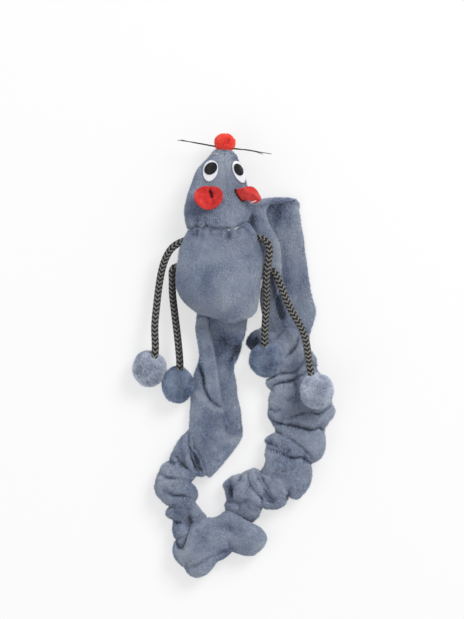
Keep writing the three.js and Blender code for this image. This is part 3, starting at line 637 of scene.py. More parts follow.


# Neck: the plush that is left over at the seam between body and head. It is gathered there with its
# pile outside.

NECK_RINGS, NECK_SIDES = 26, 120
NECK_HALF_WIDTH, NECK_FRONT, NECK_BACK, NECK_MID_Z = 13.4 * MM, 9.4 * MM, 8.4 * MM, 12.4 * MM
neck_place = np.linspace(0, 1, NECK_RINGS)
neck_angle = 2 * np.pi * np.arange(NECK_SIDES) / NECK_SIDES
neck_rings = np.empty((NECK_RINGS, NECK_SIDES, 3))
neck_pucker = 1 + 0.035 * np.cos(17 * neck_angle) + 0.02 * np.cos(29 * neck_angle + 1)
neck_waist = 0.88 + 0.02 * np.cos(2 * np.pi * neck_place)
neck_wide = NECK_HALF_WIDTH * np.cos(neck_angle) * neck_pucker
neck_rings[:, :, 0] = BODY_X - 0.9 * MM + neck_wide * neck_waist[:, None]
neck_rings[:, :, 1] = (54.5 * MM + 9.5 * MM * neck_place)[:, None]
neck_high = np.where(np.sin(neck_angle) > 0, NECK_FRONT, NECK_BACK) * np.sin(neck_angle) * neck_pucker
neck_rings[:, :, 2] = NECK_MID_Z + neck_high * neck_waist[:, None]
# The whole gather is darkened evenly with painted shade.
neck_skin, neck_pile = plush("neck_gather", neck_rings, 13, shade_paint=np.full(neck_rings.shape[:2], 0.8))
for piece in (neck_skin, neck_pile):
    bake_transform(piece)


# Nose: a small red pompom of trimmed acrylic pile on the tip of the snout, with two stiff waxed
# threads drawn through its base for whiskers.

RED_DARK, RED_MIDDLE, RED_LIGHT = (0.90, 0.070, 0.055), (1.0, 0.130, 0.095), (1.0, 0.23, 0.17)
red_pile = fibre_material("red_pile", RED_DARK, RED_MIDDLE, RED_LIGHT, 0.15, patch=200, strand=0.35, deep=0.6)
red_core = fibre_material("red_core", (0.85, 0.05, 0.04), (1.0, 0.09, 0.07), (1.0, 0.14, 0.10), 0.1, deep=0.7)


def pompom(
    name, centre, radius, core_material, pile_material, seed, length, crowd, swirl=0.0, shape=(1, 1),
    painted_shade_side=(0, 0, 0),
):
    """A ball of trimmed pile round a knot. Its strands stand straight out, with a slight swirl. shape
    says how much wider and longer than round it is trimmed, and the last argument on which side painted shade
    darkens it."""
    count, sides = 30, 44
    latitude = np.pi * (np.arange(1, count) / count)
    angle = 2 * np.pi * np.arange(sides) / sides
    core = radius - 0.6 * length
    rings = np.empty((count - 1, sides, 3))
    rings[:, :, 0] = core * np.sin(latitude)[:, None] * np.cos(angle)
    rings[:, :, 1] = core * np.sin(latitude)[:, None] * np.sin(angle)
    rings[:, :, 2] = core * np.cos(latitude)[:, None]
    rings *= np.array([*shape, 1])
    # Painted shade, darkest on the side that the last argument points to.
    shade_paint = smooth_step(0.1, 1.3, rings @ np.array(painted_shade_side) / radius)
    rings = rumpled(rings, 0.07 * radius, 0.5 * radius, seed) + np.array(centre)
    ball = cloth_piece(name, rings, core_material, shade_paint=shade_paint)
    around = np.cross(np.array([0, 0, 1.0]), rings - np.array(centre)).reshape(-1, 3)
    around = np.concatenate([around / radius, np.zeros((2, 3))]) * swirl
    ball.data.attributes["nap"].data.foreach_set("vector", around.astype(np.float32).ravel())
    pile = grown_pile(
        name + "_pile", ball, pile_material, seed,
        Strands_per_square_metre=crowd, Strand_length=length, Strand_width=0.2 * MM, Lean=1.0, Ruffle=0.7,
    )
    return ball, pile


NOSE_CENTRE = (HEAD_X + 0.2 * HEAD_WIDTH / 2, 98.75 * MM, HEAD_MID_Z)
nose, nose_pile = pompom(
    "nose_ball", NOSE_CENTRE, 4.8 * MM, red_core, red_pile, 21, 0.75 * MM, 2.4e7, 0.3, (1.0, 0.91),
)
for piece in (nose, nose_pile):
    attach(piece, "head")
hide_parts("nose_pompom")


def tube_mesh(name, line, radii, sides, material):
    """A closed round tube along a line of points, with a radius at each point."""
    line = np.array(line, float)
    tangent = np.gradient(line, axis=0)
    tangent /= np.linalg.norm(tangent, axis=1, keepdims=True)
    side_way = np.cross(tangent[0], [0.3, 0.2, 1.0])
    rings = []
    for point, way, radius in zip(line, tangent, radii):
        side_way = side_way - way * (side_way @ way)
        side_way /= np.linalg.norm(side_way)
        other = np.cross(way, side_way)
        angle = 2 * np.pi * np.arange(sides) / sides
        rings.append(point + radius * (np.outer(np.cos(angle), side_way) + np.outer(np.sin(angle), other)))
    return cloth_piece(name, np.array(rings), material)


thread_material = fibre_material(
    "waxed_thread", (0.01, 0.011, 0.014), (0.024, 0.026, 0.03), (0.07, 0.07, 0.075), 0.0, patch=1500, fleck=4000,
)
thread_material.node_tree.nodes["Principled BSDF"].inputs["Roughness"].default_value = 0.5
WHISKERS = {
    "whisker_thread_upper": ([(177.5, 140.2), (190, 141.8), (203, 144), (213, 145.8), (225, 147), (236, 148.6),
                              (246, 150), (255, 151.6), (263, 154.2)], 0.9),
    "whisker_thread_lower": ([(181, 139.6), (192, 142.2), (204, 144.4), (214, 146.2), (225, 147.6), (237, 149),
                              (248, 149.8), (260, 152), (271.5, 153.8)], -0.9),
}
THREAD_STEPS = 60
for name, (route, lift) in WHISKERS.items():
    height = np.full(THREAD_STEPS, NOSE_CENTRE[2] + lift * MM)
    line = np.column_stack([smooth_line(spots(route), THREAD_STEPS), height])
    taper = 0.30 * MM * (0.30 + 0.70 * np.sin(np.pi * np.linspace(0.03, 0.97, THREAD_STEPS)) ** 0.6)
    thread = tube_mesh(name.replace("thread", "hair"), line, taper, 8, thread_material)
    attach(thread, "head")
    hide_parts(name)


# Eyes: on each side of the seam a white oval of felt, and on it a smaller oval of black felt. Both are
# glued down.

white_felt = fibre_material(
    "white_felt", (0.62, 0.63, 0.68), (0.78, 0.79, 0.83), (0.88, 0.88, 0.90), 0.2, patch=300, fleck=2600, bump=0.5,
)
black_felt = fibre_material(
    "black_felt", (0.008, 0.008, 0.009), (0.018, 0.018, 0.019), (0.05, 0.05, 0.05), 0.15, patch=400, fleck=2600,
    bump=0.6,
)
head_surface = BVHTree.FromObject(head_skin, bpy.context.evaluated_depsgraph_get())


def height_on(surface, x, y):
    hit = surface.ray_cast(Vector((x, y, 0.1)), Vector((0, 0, -1)))[0]
    return hit.z if hit else None


def curve_terms(x, y):
    return np.column_stack([np.ones(len(x)), x, y, x * x, x * y, y * y])


def oval_edge(centre, width, length, lean, narrow):
    """An oval in the plane. narrow is how much slimmer its lower end is than its upper end."""
    angle = 2 * np.pi * np.arange(60) / 60
    way = np.array([[math.cos(lean), -math.sin(lean)], [math.sin(lean), math.cos(lean)]])
    flat = np.column_stack([np.cos(angle) * (1 + narrow * np.sin(angle)) * width / 2, np.sin(angle) * length / 2])
    return spot(*centre), flat @ way.T


def laid_on_head(middle, edge):
    """How a flat piece of felt lies on the head: it faces the way that the head does under it, and
    bends less than the plush. Gives the place in space of a picture place at a height over the head."""
    inner = middle + np.concatenate([edge * share for share in (0.0, 0.2, 0.35, 0.5)])
    under = [height_on(head_surface, x, y) for x, y in inner]
    inner = inner[[z is not None for z in under]]
    under = np.array([z for z in under if z is not None])
    slope = np.linalg.lstsq(np.column_stack([inner - middle, np.ones(len(inner))]), under, rcond=None)[0]
    slope[:2] *= min(1, 0.8 / max(math.hypot(*slope[:2]), 1e-6))
    out = np.array([-slope[0], -slope[1], 1.0])
    out /= np.linalg.norm(out)
    first = np.array([out[2], 0, -out[0]]) / math.hypot(out[0], out[2])
    second = np.cross(out, first)
    base = np.array([*middle, slope[2]])
    flatten = np.linalg.inv(np.column_stack([first[:2], second[:2]])).T
    tried, rises = [], []
    for place in np.concatenate([edge * share for share in (0.0, 0.3, 0.6, 0.85)]) @ flatten:
        start = base + place[0] * first + place[1] * second + 0.02 * out
        hit = head_surface.ray_cast(Vector(start), Vector(-out))[0]
        if hit:
            tried.append(place)
            rises.append((np.array(hit) - base) @ out)
    terms = curve_terms(*(np.array(tried).T * 100))
    fit = np.linalg.lstsq(terms, np.array(rises), rcond=None)[0]
    clear = np.quantile(np.array(rises) - terms @ fit, 0.97)

    def placed(where, lift):
        flat = (where - middle) @ flatten
        for _ in range(14):
            bend = 2.2 * MM * np.tanh(curve_terms(*(flat.T * 100)) @ fit / (2.2 * MM))
            rise = bend + clear + lift
            there = base + flat[:, :1] * first + flat[:, 1:] * second + rise[:, None] * out
            flat = flat + 0.6 * (where - there[:, :2]) @ flatten
        return there

    return placed


def felt_oval(name, middle, edge, placed, low, high, material):
    """An oval of felt, its under side low and its top high above the plush that it lies on."""
    steps = 9
    rings = []
    for share, lift in (
        [(s / steps, low) for s in range(1, steps)]
        + [(0.97, low + 0.05 * MM), (1.0, (low + high) / 2), (0.965, high - 0.08 * MM)]
        + [(s / steps * 0.93, high) for s in range(steps, 0, -1)]
    ):
        rings.append(placed(middle + edge * share, lift))
    return cloth_piece(name, np.array(rings), material)


EYES = [
    ("left", (210.4, 171.3), 15.0, 22.0, -0.22, 0.13, (210.8, 168.8), 14.2, 11.4, 0.72),
    ("right", (239.2, 172.2), 11.4, 23.6, 0.38, 0.10, (238.7, 169.9), 8.6, 13.0, 0.48),
]
for side, place, wide, long, lean, narrow, pupil_place, pupil_wide, pupil_long, pupil_lean in EYES:
    middle, edge = oval_edge(place, wide * PIXEL, long * PIXEL, lean, narrow)
    placed = laid_on_head(middle, edge)
    white = felt_oval(f"eye_felt_white_{side}", middle, edge, placed, 0.1 * MM, 1.1 * MM, white_felt)
    middle, edge = oval_edge(pupil_place, pupil_wide * PIXEL, pupil_long * PIXEL, pupil_lean, 0)
    black = felt_oval(f"eye_felt_black_{side}", middle, edge, placed, 0.9 * MM, 1.6 * MM, black_felt)
    for piece, node, slot in (
        (white, f"eye_white_{side}", "eye_white"), (black, f"eye_pupil_{side}", "eye_black"),
    ):
        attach(piece, "head")
        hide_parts(node)


# Ears: discs of red felt, each tacked to the head by a stitch that dishes it. The right one has
# turned over on its stitch and stands on its edge.

# Red felt: it takes painted shade and painted light from the mesh, its deepest painted shade near black.
red_felt = fibre_material(
    "red_felt", (0.48, 0.022, 0.022), (0.62, 0.036, 0.034), (0.74, 0.066, 0.054), 0.25, patch=420, fleck=2600,
    bump=0.9,
    painted_shade_strength=0.5, deep=0.12,
)


def felt_leaf(name, outline, centre, thickness, height, shade=()):
    """A cut piece of felt. outline and centre are picture places, height says how high its under side
    lies at each place, and shade where painted shade darkens it and painted light lightens it."""
    steps = 15
    edge = smooth_line(spots(outline + outline[:1]), 97)[:-1]
    middle = spot(*centre)
    rings = []
    for share, face in (
        [(s / steps, 0.0) for s in range(1, steps)] + [(0.98, 0.06), (1.0, 0.3), (1.0, 0.7), (0.98, 0.94)]
        + [(s / steps, 1.0) for s in range(steps - 1, 0, -1)]
    ):
        place = middle + (edge - middle) * share
        rings.append(np.column_stack([place, height(place) + face * thickness]))
    rings = np.array(rings)
    shade_paint = np.zeros(rings.shape[:2])
    # Painted shade where an amount is above nothing, painted light where it is below.
    for line, reach, amount in shade:
        shade_paint += amount * np.exp(-((line_distance(rings[:, :, :2], spots(line))[0] / (reach * PIXEL)) ** 2))
    return cloth_piece(name, rings, red_felt, shade_paint=shade_paint)


LEFT_EAR_EDGE = [
    (222.9, 197.5), (222.4, 192.8), (219.6, 189), (215.4, 187), (210.8, 187.1), (206, 186.6), (200.6, 187.9),
    (196.2, 191.2), (194.3, 196), (194.7, 200.6), (197.2, 204.6), (202, 208.4), (208, 210.5), (214.2, 209),
    (219, 205.6), (222, 201.6),
]
LEFT_EAR_STITCH = (211, 194)
RIGHT_EAR_EDGE = [
    (234.1, 189.6), (238, 189.2), (242, 188.5), (247.2, 187.1), (252, 187), (256.2, 189.8), (259, 194.2),
    (261.3, 199), (259, 202.2), (252.8, 203.8), (250.2, 201.3), (246.8, 200.8), (243.4, 202.2),
    (239.8, 201.2), (236.8, 197.6), (234.8, 193.4),
]
RIGHT_EAR_FOLD = [(232, 184), (245, 190.3), (252, 192.8), (257, 197), (261, 202.5)]


def left_ear_height(places):
    stitch = spot(*LEFT_EAR_STITCH)
    out = np.linalg.norm(places - stitch, axis=1) / (6.2 * MM)
    pleat, share = line_distance(places, spots([(209.8, 189.5), (211, 193), (212.4, 198), (213.4, 202)]))
    rise = 25.0 + 1.6 * smooth_step(0, 1.6, out) + 0.16 * (places[:, 0] / MM + 12.4)
    rise -= 0.9 * np.exp(-((out / 0.32) ** 2)) + 0.5 * np.exp(-((pleat / (0.8 * MM)) ** 2)) * (1 - share)
    rise += 0.25 * np.sin(places[:, 0] * 700) * np.sin(places[:, 1] * 560 + 1)
    return rise * MM


def right_ear_height(places):
    away, share = line_distance(places, smooth_line(spots(RIGHT_EAR_FOLD), 30))
    along = (places - spot(247, 195)) @ np.array([0.92, -0.39]) / MM
    slope = np.sqrt((away / MM) ** 2 + 0.1**2)
    return (25.4 - 0.9 * slope - np.where(along > 0, 0.1, 0.06) * along**2) * MM


ear_left = felt_leaf(
    "ear_felt_left", LEFT_EAR_EDGE, LEFT_EAR_STITCH, 1.1 * MM, left_ear_height,
    # Painted shade round the stitch and over the middle, and painted light on the left side.
    [
        ([(210, 190), (211, 194), (212, 197.5)], 1.5, 1.0), ([(212, 197), (213, 201)], 1.6, 0.5),
        ([(214, 204), (215, 207)], 2.5, 0.25),
        ([(203, 190), (207, 191.5)], 2.5, 0.25), ([(216, 194), (219, 196)], 3.5, 0.25),
        ([(199, 196), (203, 203)], 4, -0.25), ([(204, 198), (216, 202)], 9, 0.16),
    ],
)
ear_right = felt_leaf(
    "ear_felt_right", RIGHT_EAR_EDGE, (247, 196), 1.1 * MM, right_ear_height,
    # Painted shade along the lower left edge, where the under side lies in shadow, a painted highlight along the
    # fold with painted shade beside it, and painted light over the face.
    [
        ([(233.8, 189.8), (235.6, 195), (238.4, 200), (241.6, 202.6), (244.2, 202.4)], 2.7, 1.9),
        ([(240, 194), (252, 198.4)], 6, -0.4),
        ([(246, 191.4), (252, 193), (256.5, 195.4), (259.7, 198.6)], 0.8, -1.0),
        ([(244, 193.6), (250, 195.2), (255, 198.4)], 0.8, 0.35),
    ],
)
for piece, node in ((ear_left, "ear_left"), (ear_right, "ear_right")):
    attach(piece, "head")
    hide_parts(node)


red_thread = fibre_material(
    "red_thread", (0.05, 0.003, 0.004), (0.10, 0.005, 0.008), (0.18, 0.02, 0.02), 0.0, patch=900, fleck=3000,
)
pale_thread = fibre_material(
    "pale_thread", (0.60, 0.30, 0.30), (0.78, 0.50, 0.50), (0.90, 0.72, 0.70), 0.0, patch=900, fleck=3000,
)
for name, route, rise, radius, material in (
    ("ear_stitch_left", [(210.2, 190.6), (210.8, 192.6), (211.4, 194.6), (211.8, 196.6)], 25.1, 0.3, red_thread),
    ("ear_stitch_right", [(250.5, 203.4), (252.4, 202.4), (254.3, 201.9), (256.2, 200.9)], 23.2, 0.3, pale_thread),
):
    flat = smooth_line(spots(route), 24)
    height = (rise + 0.55 * np.sin(np.pi * np.linspace(0, 1, 24))) * MM
    radii = radius * MM * (0.45 + 0.55 * np.sin(np.pi * np.linspace(0.02, 0.98, 24)))
    stitch = tube_mesh(name, np.column_stack([flat, height]), radii, 8, material)
    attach(stitch, "head")


# Limbs: lengths of round braided cord, black with grey-beige, sewn into the side seams of the body,
# each ending in a pompom of trimmed pile.

LIMBS = {
    "arm_left": [
        (-25.4, 52.2, 13.4), (-28.9, 49.7, 12.6), (-31.6, 45.4, 11), (-33.4, 40, 9.6), (-34.7, 33.2, 9),
        (-35.8, 24.3, 9.2), (-36.75, 13.7, 10.6), (-36.5, 3, 12), (-37.4, -2.4, 10.6), (-39.3, -6.2, 7.15),
    ],
    "leg_left": [
        (-28.2, 40.2, 13.4), (-28.6, 34.6, 12.4), (-28.5, 28.5, 11), (-27.7, 21.1, 9.8), (-26.8, 13.7, 9.4),
        (-25.8, 5, 9.8), (-25.1, -4, 10.9), (-25.7, -9.5, 9.6), (-26.2, -13.7, 7.15),
    ],
    "arm_right": [
        (13.2, 54.1, 14.2), (15.8, 51.8, 16.3), (16.5, 48.3, 17), (16.1, 44.2, 17.2), (15.3, 39.6, 16.9),
        (15.1, 33, 15.7), (15.2, 25.6, 14.1), (14.7, 17, 12.7), (14.3, 9.6, 11.8), (14.4, 4, 10.4),
        (14.9, -2.2, 7.15),
    ],
    "leg_right": [
        (15.9, 39.8, 12.7), (18.7, 38.6, 13.2), (20.7, 35, 13.9), (22.5, 30.6, 14.2), (24.6, 25.4, 14.3),
        (27.4, 19.6, 14.5), (31.0, 13.5, 15.2), (33.3, 7.2, 16.6), (34.5, -0.5, 19), (35.8, -8.5, 21.8),
        (38.4, -16.4, 21.3),
    ],
}
PAW_RADIUS = 7.65 * MM

braid_material = plain_material("braided_cord", (0.1, 0.1, 0.1), 0.7, 0.35)
braid_paint = braid_material.node_tree
braid_where = node_at(braid_paint, "ShaderNodeTexCoord").outputs["Object"]
braid_fibre = node_at(braid_paint, "ShaderNodeTexNoise", {"Vector": braid_where, "Scale": 3200}).outputs["Fac"]
braid_shade = maths(braid_paint, "MULTIPLY_ADD", braid_fibre, 0.22, shade_of(braid_paint, "yarn"))
braid_colour = ramp_colour(
    braid_paint, braid_shade, (0.18, (0.015, 0.015, 0.016)), (1.15 / 1.2, (0.225, 0.218, 0.205)),
)
braid_paint.links.new(braid_colour, braid_paint.nodes["Principled BSDF"].inputs["Base Color"])


def stitch_mesh():
    """One leg of a chevron of the braid: a plump strand, thicker in the middle, along X."""
    steps, sides = 6, 6
    place = np.linspace(-1, 1, steps)
    rings = []
    for p in place:
        swell = math.sqrt(max(1 - (abs(p) * 0.93) ** 2.6, 0.02))
        angle = 2 * np.pi * np.arange(sides) / sides
        rings.append(np.column_stack([
            np.full(sides, p * 1.2 * MM), 0.38 * MM * swell * np.cos(angle),
            0.34 * MM * swell * np.sin(angle) - 0.2 * MM * p * p,
        ]))
    return cloth_piece("stitch", np.array(rings), braid_material)


ROW_RISE = 1.02 * MM


def braid_tree(stitch):
    """Geometry Nodes: chevron legs in columns round a cord, row after row along its path."""
    tree = new_tree(
        "round_braid", "Path", "Braid",
        {
            "Rows": 70.0, "Columns": 6.0, "Row rise": ROW_RISE, "Cord radius": 1.40 * MM, "Slope": 1.2,
            "Dark side": 0.0,
        },
    )
    number, vector = partial(maths, tree), partial(vectors, tree)
    given = node_at(tree, "NodeGroupInput").outputs
    total = number("MULTIPLY", given["Rows"], given["Columns"])
    line = node_at(tree, "GeometryNodeMeshLine", {"Count": total}, mode="OFFSET")
    index = node_at(tree, "GeometryNodeInputIndex").outputs[0]
    row = number("FLOOR", number("DIVIDE", index, given["Columns"]))
    column = number("MODULO", index, given["Columns"])
    hand = number("SUBTRACT", number("MULTIPLY", number("MODULO", column, 2.0), 2.0), 1.0)
    upright = node_at(tree, "GeometryNodeSetCurveNormal", {"Curve": given["Path"]}, mode="Z_UP")
    path = node_at(
        tree, "GeometryNodeSampleCurve",
        {"Curves": upright.outputs["Curve"], "Length": number("MULTIPLY", row, given["Row rise"])},
        mode="LENGTH", data_type="FLOAT",
    ).outputs
    turned = number("DIVIDE", number("ADD", column, 1.0), given["Columns"])
    angle = number("MULTIPLY", turned, 2 * math.pi)
    binormal = vector("CROSS_PRODUCT", path["Tangent"], path["Normal"])
    across = vector("SCALE", path["Normal"], number("COSINE", angle))
    outward = vector("ADD", across, vector("SCALE", binormal, number("SINE", angle)))
    place = vector("ADD", path["Position"], vector("SCALE", outward, given["Cord radius"]))
    around = vector("CROSS_PRODUCT", path["Tangent"], outward)
    lift = vector("SCALE", path["Tangent"], number("MULTIPLY", given["Slope"], hand))
    moved = node_at(tree, "GeometryNodeSetPosition", {"Geometry": line.outputs["Mesh"], "Position": place})
    first_turn = node_at(tree, "FunctionNodeAlignRotationToVector", {"Vector": outward}, axis="Z")
    second_turn = node_at(
        tree, "FunctionNodeAlignRotationToVector",
        {"Rotation": first_turn.outputs["Rotation"], "Vector": vector("ADD", around, lift)},
        axis="X", pivot_axis="Z",
    )
    # Every second row is the light yarn, and its stitches are longer and slimmer.
    parity = number("MODULO", row, 2.0)
    plump = node_at(
        tree, "ShaderNodeCombineXYZ",
        {
            "X": number("ADD", 0.72, number("MULTIPLY", parity, 0.36)),
            "Y": number("SUBTRACT", 1.2, number("MULTIPLY", parity, 0.32)),
            "Z": number("SUBTRACT", 1.12, number("MULTIPLY", parity, 0.06)),
        },
    )
    source = node_at(tree, "GeometryNodeObjectInfo", {"Object": stitch})
    plant = node_at(
        tree, "GeometryNodeInstanceOnPoints",
        {
            "Points": moved.outputs["Geometry"], "Instance": source.outputs["Geometry"],
            "Rotation": second_turn.outputs["Rotation"], "Scale": plump.outputs[0],
        },
    )
    dark_column = number("LESS_THAN", number("ABSOLUTE", number("SUBTRACT", column, 2.5)), 1.0)
    shown = number("SUBTRACT", 1.0, number("MULTIPLY", dark_column, given["Dark side"]))
    yarn = number("MULTIPLY", parity, shown)
    yarns = kept(tree, plant.outputs["Instances"], "yarn", yarn, "FLOAT", "INSTANCE")
    real = node_at(tree, "GeometryNodeRealizeInstances", {"Geometry": yarns}).outputs["Geometry"]
    finish = node_at(tree, "GeometryNodeSetMaterial", {"Geometry": real, "Material": braid_material})
    node_at(tree, "NodeGroupOutput", {"Braid": finish.outputs["Geometry"]})
    return tree


stitch = stitch_mesh()
braid_nodes = braid_tree(stitch)
POMPOM_LIGHT = (0.78, 0.82, 0.90)
paw_core = fibre_material("paw_core", (0.24, 0.29, 0.38), (0.38, 0.43, 0.53), (0.50, 0.55, 0.64), 0.2, patch=160)
paw_pile_material = fibre_material(
    "paw_pile", (0.28, 0.33, 0.43), (0.55, 0.605, 0.71), POMPOM_LIGHT, 0.8, patch=150, strand=0.5, tips=0.3,
    deep=0.5,
)


def path_curve(line):
    curve = bpy.data.curves.new("path", "CURVE")
    curve.dimensions = "3D"
    spline = curve.splines.new("POLY")
    spline.points.add(len(line) - 1)
    spline.points.foreach_set("co", np.column_stack([line, np.ones(len(line))]).ravel())
    return new_object("path", curve)


def braided_cord(name, line, dark_side):
    """The braid along a line, over a dark core, as one mesh. dark_side is how much darker the yarn is
    on the side of the cord that is turned away from the light."""
    length = float(np.linalg.norm(np.diff(line, axis=0), axis=1).sum())
    holder = path_curve(line)
    curve = holder.data
    rows = math.floor(length / ROW_RISE) + 1.0
    braid = new_object(name, made_by(braid_nodes, holder, {"Rows": rows, "Dark side": dark_side}))
    bpy.data.curves.remove(curve)
    radii = np.full(len(line), 1.28 * MM)
    core = tube_mesh(name + "_core", line, radii, 12, braid_material)
    bpy.ops.object.select_all(action="DESELECT")
    braid.select_set(True)
    core.select_set(True)
    bpy.context.view_layer.objects.active = braid
    bpy.ops.object.join()
    return braid, length


IN_THE_SEAM = {
    "arm_left": (-19.6, 54.4, 13.4), "leg_left": (-23.8, 41.8, 13.4), "arm_right": (7.6, 54.2, 12.6),
    "leg_right": (10.2, 40.8, 12.7),
}
# A darker copy of the paw pile: painted shade for the paws that lie darker.
shaded_paw_pile_material = fibre_material(
    "shaded_paw_pile", (0.12, 0.165, 0.29), (0.285, 0.365, 0.51), (0.46, 0.54, 0.67), 0.7, patch=150, strand=0.35,
    tips=0.3,
    painted_shade_strength=0.45,
)
SHADED_PAWS = ("leg_left", "arm_right")
PAW_SHAPES = {
    "arm_left": (1.05, 1.11), "leg_left": (0.96, 1.14), "arm_right": (1.0, 1.02), "leg_right": (1.01, 1.1),
}
# On which side, and how strongly, painted shade darkens each paw.
PAW_SHADE = {
    "arm_left": (0, 0, 0), "leg_left": (0.8, -0.8, 0.1), "arm_right": (-0.15, -0.4, 0.1), "leg_right": (0, 0, 0),
}
for number, (limb, route) in enumerate(LIMBS.items()):
    route = np.array([IN_THE_SEAM[limb], *route]) * MM
    whole = smooth_line(route, 240)
    outside = np.linalg.norm(whole - route[-1], axis=1) > PAW_RADIUS - 4.4 * MM
    line = whole[outside]
    cord, cord_length = braided_cord(f"{limb}_braid", line, 0.6 if limb == "leg_left" else 0.0)
    paw, paw_pile = pompom(
        f"{limb}_paw", route[-1], PAW_RADIUS, paw_core,
        shaded_paw_pile_material if limb in SHADED_PAWS else paw_pile_material, 31 + number,
        1.3 * MM, 1.7e7, 0.8, PAW_SHAPES[limb], PAW_SHADE[limb],
    )
    for piece in (cord, paw, paw_pile):
        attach(piece, limb)
    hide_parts(f"{limb}_cord")
    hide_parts(f"{limb}_pompom")
bpy.data.objects.remove(stitch)


# Sleeve: one long tube of plush. It leaves the seam at the bottom of the body as a flat strip with a
# rolled flap, and from there an elastic inside it draws it up into puffs that lie aslant.


def sleeve_rings(pairs, rings, sides, height, base=0.0):
    """Rings between two edges in picture places. height and base give the top and the under side of
    the tube in millimetres, by share along it."""
    pairs = np.array(pairs, float)
    both = np.column_stack([spots(pairs[:, :2]), spots(pairs[:, 2:])])
    table = np.column_stack([np.arange(len(both)), both])
    fine = np.linspace(0, len(both) - 1, 40 * len(both))
    dense = read_shares(table, fine)[:, 1:]
    step = np.linalg.norm(np.diff(dense[:, :2], axis=0), axis=1) + np.linalg.norm(
        np.diff(dense[:, 2:], axis=0), axis=1,
    )
    along = np.concatenate([[0], np.cumsum(step)])
    even = np.linspace(0, along[-1], rings)
    edges = np.column_stack([np.interp(even, along, dense[:, k]) for k in range(4)])
    share = even / along[-1]
    left, right = edges[:, :2], edges[:, 2:]
    middle, half = (left + right) / 2, np.linalg.norm(right - left, axis=1) / 2
    across = (right - left) / (2 * half)[:, None]
    top = read_shares(height, share)[:, 1] * MM
    under = np.full(rings, base * MM) if np.isscalar(base) else read_shares(base, share)[:, 1] * MM
    angle = 2 * np.pi * np.arange(sides) / sides
    power = 0.85
    reach = np.maximum(half - PILE_ROOM, 0.3 * MM)[:, None] * bulge(np.cos(angle), power)
    out = np.empty((rings, sides, 3))
    out[:, :, :2] = middle[:, None, :] + reach[:, :, None] * across[:, None, :]
    mid, rise = (top + under) / 2, (top - under) / 2 - PILE_ROOM
    out[:, :, 2] = mid[:, None] + rise[:, None] * bulge(np.sin(angle), power)
    return out


STRIP_EDGES = [
    (199, 305, 248, 309), (196.5, 315, 247.8, 320), (195.5, 328, 246.3, 330), (197, 340, 244, 340),
    (198.8, 352, 241, 352), (199, 358, 237.8, 360), (197, 364.5, 235, 366), (193.6, 373.5, 234.8, 373),
    (191.8, 384, 236.2, 382), (191, 395, 238, 394), (190.3, 407, 240.2, 406), (189.5, 420, 242, 418),
    (189, 431, 243, 428), (188.8, 439, 242.6, 436), (192.5, 446.5, 239.5, 442), (196, 453, 235.5, 447.5),
    (199, 459, 231, 453.5), (201.8, 465.5, 226, 459.5), (203.6, 470.4, 221, 465.6), (204.8, 474.2, 216.4, 471),
    (207, 476, 212.4, 475),
]
FLAP_EDGE = [
    (190, 300), (190, 330), (197.5, 350), (199.5, 359), (201.5, 369), (203.5, 379), (206, 388), (209.5, 395.5),
    (214, 401.5), (221.5, 407), (221.8, 402), (220.8, 394), (219.4, 384), (218.2, 372), (217, 362),
    (215, 352.7), (213.2, 346), (211.2, 339), (209, 330), (207.5, 318), (207, 300),
]


def inside_of(places, outline):
    """True for the places inside a closed outline."""
    inside = np.zeros(places.shape[:-1], bool)
    x, y = places[..., 0], places[..., 1]
    for (x0, y0), (x1, y1) in zip(outline, np.roll(outline, -1, axis=0)):
        crosses = (y0 > y) != (y1 > y)
        at = x0 + (y - y0) / (y1 - y0 if y1 != y0 else 1e-12) * (x1 - x0)
        inside ^= crosses & (x < at)
    return inside


